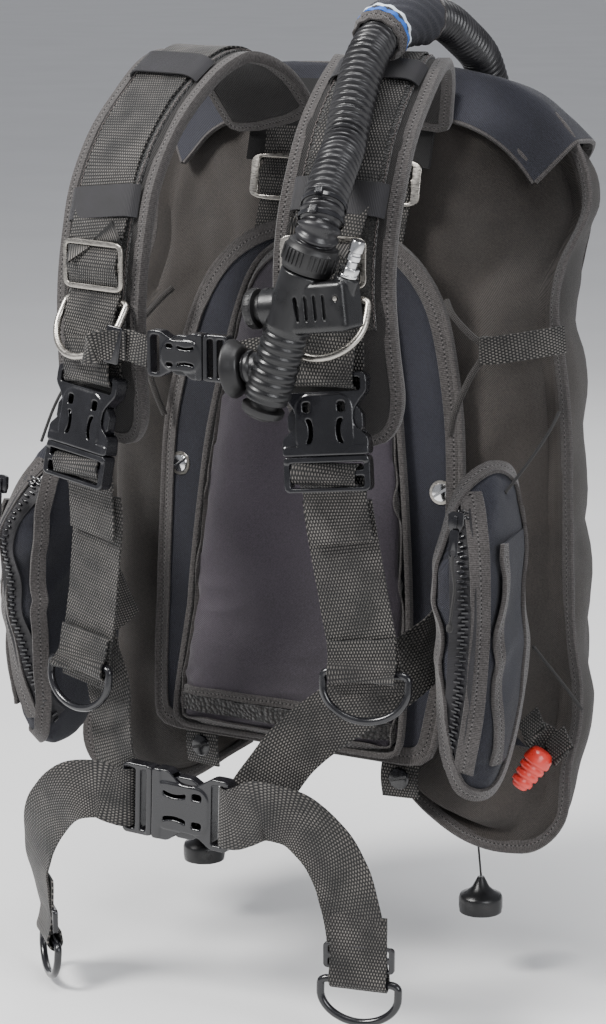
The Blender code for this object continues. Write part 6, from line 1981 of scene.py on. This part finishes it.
def dump_flap(side):
    """The short webbing tab below the panel, with its plastic screw."""
    name = side_name(side)
    splay = (1, side * 0.1, 0)
    places = [(0.088, -0.046, -0.196), (0.0875, -0.060, -0.208), (0.087, -0.063, -0.222), (0.087, -0.060, -0.238)]
    route = [((side * x, y, z), splay, 0) for x, y, z in places]
    kept(strap("lower_tab_" + name, route, 0.030, 0.0022), "webbing")
    screw_head("lower_tab_screw_" + name, (side * 0.087, -0.0638, -0.2225), (0, -1, 0.05), 0.0085, "acetal", 0.3)


def release():
    """The ribbed red pull in its webbing sleeve."""
    matrix = frame_at((0.205, -0.066, -0.186), (0.45, 0.30, 0.80), (0.4, -1, 0))
    profile = [(0.0048, -0.0292), (0.0062, -0.0276)]
    for step in reversed(range(4)):
        z = -0.004 - 0.006 * step
        radius = 0.0105 - 0.0008 * step
        profile += [(radius - 0.0020, z - 0.0052), (radius - 0.0018, z - 0.0040), (radius - 0.0002, z - 0.0034),
                    (radius, z - 0.0024),
                    (radius, z - 0.0008), (radius - 0.0003, z)]  # fmt: skip
    profile += [(0.0098, -0.0006), (0.0074, 0.0030), (0.0050, 0.0038)]
    piece = smooth(turned("release_pull", profile, 56), 60)
    kept(placed(piece, matrix), "grip_rubber", "release_grip", nodes=("release_grip",))
    loop = []
    for turn in np.linspace(-0.6 * math.pi, 0.6 * math.pi, 21):
        loop.append(matrix @ Vector((0.0125 * math.sin(turn), 0.0125 * math.cos(turn), 0.010)))
    ends = [loop[0] + Vector((-0.012, 0.012, 0.010)), *loop, loop[-1] + Vector((-0.012, 0.012, 0.010))]
    axis = matrix.to_3x3() @ Vector((0, 0, 1))
    kept(strap("release_sleeve", [(p, tuple(axis), 0) for p in ends], 0.020, 0.0020, spacing=0.001), "webbing")


def thin_cords():
    """Two short cords beside the pocket on each side."""
    for side in (1, -1):
        name = side_name(side)
        for label, points in (
            ("upper", [(0.206, -0.048, 0.064), (0.207, -0.064, 0.054), (0.204, -0.088, 0.037), (0.197, -0.115, 0.016)]),
            ("lower", [(0.200, -0.072, -0.104), (0.208, -0.062, -0.120), (0.2165, -0.050, -0.138),
                       (0.224, -0.038, -0.156)]),
        ):
            points = smooth_run([(side * x, y, z) for x, y, z in points], count=6)
            cord, line = cord_piece(f"side_cord_{label}_{name}", points, 0.0012)
            kept(cord, "cord_nylon")


# ---------------------------------------------------------------- tank bands and back plate

TANK_RADIUS, BAND_THICK, BAND_WIDTH, BAND_LINE = 0.092, 0.0028, 0.050, -0.0125
BAND_HEIGHTS = {"upper": 0.060, "lower": -0.095}


def band_point(turn):
    radius = TANK_RADIUS + BAND_THICK / 2 + 0.0008
    x = radius * math.sin(turn)
    y = TANK_RADIUS - radius * math.cos(turn)
    dip = max(0.0, math.cos(turn) - math.cos(math.radians(38))) / (1 - math.cos(math.radians(38)))
    share = min(1.0, 2.2 * dip)
    share = share * share * (3 - 2 * share)
    return x, y + (BAND_LINE - y) * share


def tank_band(level):
    z = BAND_HEIGHTS[level]
    turns = np.linspace(0, 2 * math.pi, 181)[:-1]
    line = np.array([(*band_point(turn), z + 0.0003 * math.sin(7 * turn)) for turn in turns])
    section = strip_ring(BAND_WIDTH, BAND_THICK - 0.0006, 9)
    band = swept("cylinder_band_" + level, line, [(0, 0, 1)] * len(line), section, cyclic=True, flat=True)
    kept(band, "webbing", nodes=("tank_band_" + level,))
    # The band's free end, doubled back over itself beside the buckle
    tail = []
    for turn in np.linspace(math.radians(158), math.radians(245), 40):
        x, y = band_point(turn)
        out = np.array((math.sin(turn), -math.cos(turn), 0))
        tail.append(np.array((x, y, z)) + out * (BAND_THICK + 0.0006))
    size = (BAND_WIDTH * 0.97, BAND_THICK - 0.0008, 9)
    trim("band_tail_" + level, tail, [(0, 0, 1)] * len(tail), size, "webbing")
    turns = np.linspace(math.radians(225), math.radians(245), 10)
    pad = [p + unit(np.array((math.sin(t), -math.cos(t), 0))) * 0.0016 for p, t in zip(tail[30:], turns)]
    trim("band_pad_" + level, pad, [(0, 0, 1)] * len(pad), (BAND_WIDTH * 0.90, 0.0014, 9), "loop_pile")
    cam = from_cad("cam_lever_" + level, "cam_arm_" + level, 0.0010, 3)
    kept(cam, "abs", "cam_lever_" + level, nodes=("cam_lever_" + level,))


def plate():
    piece = from_cad("back_plate", "cradle_plate", 0.0012, 3)
    kept(piece, "polyethylene", nodes=("back_plate",))


# ---------------------------------------------------------------- the add-on


class VestSizes(bpy.types.PropertyGroup):
    """Sizes of the cloth's own detail."""

    thread_pitch: FloatProperty(
        name="Thread pitch",
        description="Over-and-under repeat of the woven cloth, two yarns",
        default=0.0015,
        unit="LENGTH",
        min=0.0005,
    )
    fold_depth: FloatProperty(
        name="Fold depth", description="How far the wing's cloth folds in and out", default=0.0075, unit="LENGTH", min=0.0
    )


class VestColours(bpy.types.PropertyGroup):
    """Cloth and webbing colours, as sRGB hex."""

    wing_cloth_hex: StringProperty(name="Wing cloth", description="Coated nylon of the wing", default="453F3B")
    navy_cloth_hex: StringProperty(name="Cap and pockets", description="Packcloth of cap and pockets", default="30313C")
    cushion_cloth_hex: StringProperty(name="Cushion", description="Smooth nylon of the back cushion", default="4A424C")
    # The webbing's lit crest colour, its painted highlight; the shade between ribs is painted near black.
    webbing_lit_crest_hex: StringProperty(name="Webbing", description="Ribbed polyester straps", default="75706B")
    binding_hex: StringProperty(name="Binding", description="Edge tape", default="5C5857")


class VestPiece:
    """What every operator of the vest shares."""

    bl_options = {"REGISTER", "UNDO"}

    def execute(self, context):
        clear()
        self.make()
        return {"FINISHED"}


def operator(key, label, text, make):
    """An operator class that runs one maker."""
    return type("VEST_OT_" + key, (VestPiece, bpy.types.Operator), {
        "bl_idname": "vest." + key, "bl_label": label, "__doc__": text, "make": lambda self: make()})  # fmt: skip


# Wide enough that the camera sees no edge of it
FLOOR_SPAN = 90.0


def stage():
    """A pale floor, four soft lights and an even sky."""
    clear()
    lift = CAD_BOX[0][2] - 0.004
    bpy.ops.mesh.primitive_plane_add(size=FLOOR_SPAN, location=(0, 0, 0))
    floor = bpy.context.object
    floor.name = "studio_floor"
    placed(floor, Matrix.Translation((0, 0, lift)))
    tree, shader = blank("studio_paper", 0.9)
    place = add(tree, "TexCoord").outputs["Object"]
    tinted(tree, shader, add(tree, "TexNoise", {"Scale": 3.0, "Detail": 2.0, "Vector": place}), "E9E9E9", "F4F4F4")
    floor.data.materials.append(finishes["studio_paper"])
    for name, place, size, power, warmth in (
        ("key_light", (-1.2, -1.6, 1.9), 0.9, 105, (1.0, 0.99, 0.97)),
        ("fill_light", (1.9, -1.1, 0.9), 1.2, 26, (0.97, 0.98, 1.0)),
        ("top_light", (0.2, -0.3, 2.2), 1.2, 40, (1.0, 1.0, 1.0)),
        ("rim_light", (-0.9, 1.9, 1.2), 1.4, 12, (1.0, 1.0, 1.0)),
    ):
        bpy.ops.object.light_add(type="AREA", location=place)
        lamp = bpy.context.object
        lamp.name = lamp.data.name = name
        lamp.data.shape = "DISK"
        lamp.data.size = size
        lamp.data.energy = power
        lamp.data.color = warmth
        lamp.rotation_euler = (Vector((0, -0.03, 0)) - Vector(place)).to_track_quat("-Z", "Y").to_euler()
    world = bpy.data.worlds.new("studio")
    bpy.context.scene.world = world
    world.use_nodes = True
    world.node_tree.nodes["Background"].inputs[0].default_value = (0.92, 0.94, 1.0, 1.0)
    world.node_tree.nodes["Background"].inputs[1].default_value = 0.40


def camera():
    around, above, away = math.radians(30), math.radians(12), 2.2
    target = Vector((0.002, -0.06, -0.0285))
    look = Vector((math.sin(around) * math.cos(above), -math.cos(around) * math.cos(above), math.sin(above)))
    bpy.ops.object.camera_add(location=target + look * away)
    made = bpy.context.object
    made.name = "studio_camera"
    made.rotation_euler = (-look).to_track_quat("-Z", "Y").to_euler()
    made.data.lens = 103.1
    made.data.sensor_width = 36
    bpy.context.scene.camera = made


def shoulder(side):
    shoulder_pad(side)
    shoulder_webbing(side)
    strap_slide(side)
    shoulder_d_ring(side)


def bands():
    for level in BAND_HEIGHTS:
        tank_band(level)


def lower(side):
    lower_webbing(side)
    lower_d_ring(side)


def on_both(maker):
    return lambda: [maker(side) for side in (1, -1)]


STEPS = [
    ("camera", "Camera", "Adds the camera.", camera),
    ("finishes", "Finishes", "Makes every material.", make_finishes),
    ("hose", "Hose", "Builds the corrugated hose, its wrap, ties and elbow.", hose),
    ("knobs", "Pull knobs", "Builds the two dump pulls and their cords.", on_both(knob)),
    ("sliders", "Zip sliders", "Builds the zip sliders and their cords.", on_both(zip_slider)),
    ("bungees", "Bungees", "Builds the side tabs and their bungees.", on_both(bungee_set)),
    ("cords", "Side cords", "Builds the thin cords beside the pockets.", thin_cords),
    ("wing", "Wing", "Builds the front and rear cloth of the wing.", wing),
    ("yoke", "Cap", "Builds the cap over the wing's top.", yoke),
    ("torso", "Torso padding", "Builds the panel and the cushion.", torso),
    ("neck", "Neck", "Builds the neck band, its slide and lining.", neck),
    ("shoulders", "Shoulder straps", "Builds pads, webbing, slides and rings.", on_both(shoulder)),
    ("shoulder_buckles", "Shoulder buckles", "Builds the shoulder buckles.", on_both(shoulder_buckle)),
    ("lower_straps", "Lower straps", "Builds the lower straps and rings.", on_both(lower)),
    ("belts", "Waist belt", "Builds the waist webbing.", belts),
    ("waist_buckle", "Waist buckle", "Builds the waist buckle.", waist_buckle),
    ("tail_rings", "Tail rings", "Builds the rings on the belt's tails.", on_both(waist_d_ring)),
    ("sternum", "Sternum strap", "Builds the chest strap and its buckle.", sternum),
    ("inflator", "Inflator", "Builds the inflator and its fittings.", inflator),
    ("pockets", "Pockets", "Builds the pockets and zips.", on_both(pocket)),
    ("valves", "Dump valves", "Builds the rear dump valves.", on_both(dump_valve)),
    ("tabs", "Lower tabs", "Builds the tabs below the panel.", on_both(dump_flap)),
    ("release", "Release pull", "Builds the red pull and its sleeve.", release),
    ("bands", "Tank bands", "Builds the tank bands and cam levers.", bands),
    ("plate", "Back plate", "Builds the moulded back plate.", plate),
    ("stage", "Stage", "Adds the floor and the lights.", stage),
]
OPERATORS = [operator(*step) for step in STEPS]


class VEST_PT_panel(bpy.types.Panel):
    """Lists the vest's operators."""

    bl_label = "Buoyancy vest"
    bl_space_type = "VIEW_3D"
    bl_region_type = "UI"
    bl_category = "Vest"

    def draw(self, context):
        for group in (context.scene.vest_sizes, context.scene.vest_colours):
            for key in group.__annotations__:
                self.layout.prop(group, key)
        for kind in OPERATORS:
            self.layout.operator(kind.bl_idname)


CLASSES = [VestSizes, VestColours, *OPERATORS, VEST_PT_panel]


def register():
    for kind in CLASSES:
        bpy.utils.register_class(kind)
    bpy.types.Scene.vest_sizes = PointerProperty(type=VestSizes)
    bpy.types.Scene.vest_colours = PointerProperty(type=VestColours)


def unregister():
    del bpy.types.Scene.vest_colours
    del bpy.types.Scene.vest_sizes
    for kind in reversed(CLASSES):
        bpy.utils.unregister_class(kind)


def main():
    register()
    for key, *_ in STEPS:
        getattr(bpy.ops.vest, key)()


if __name__ == "__main__":
    main()
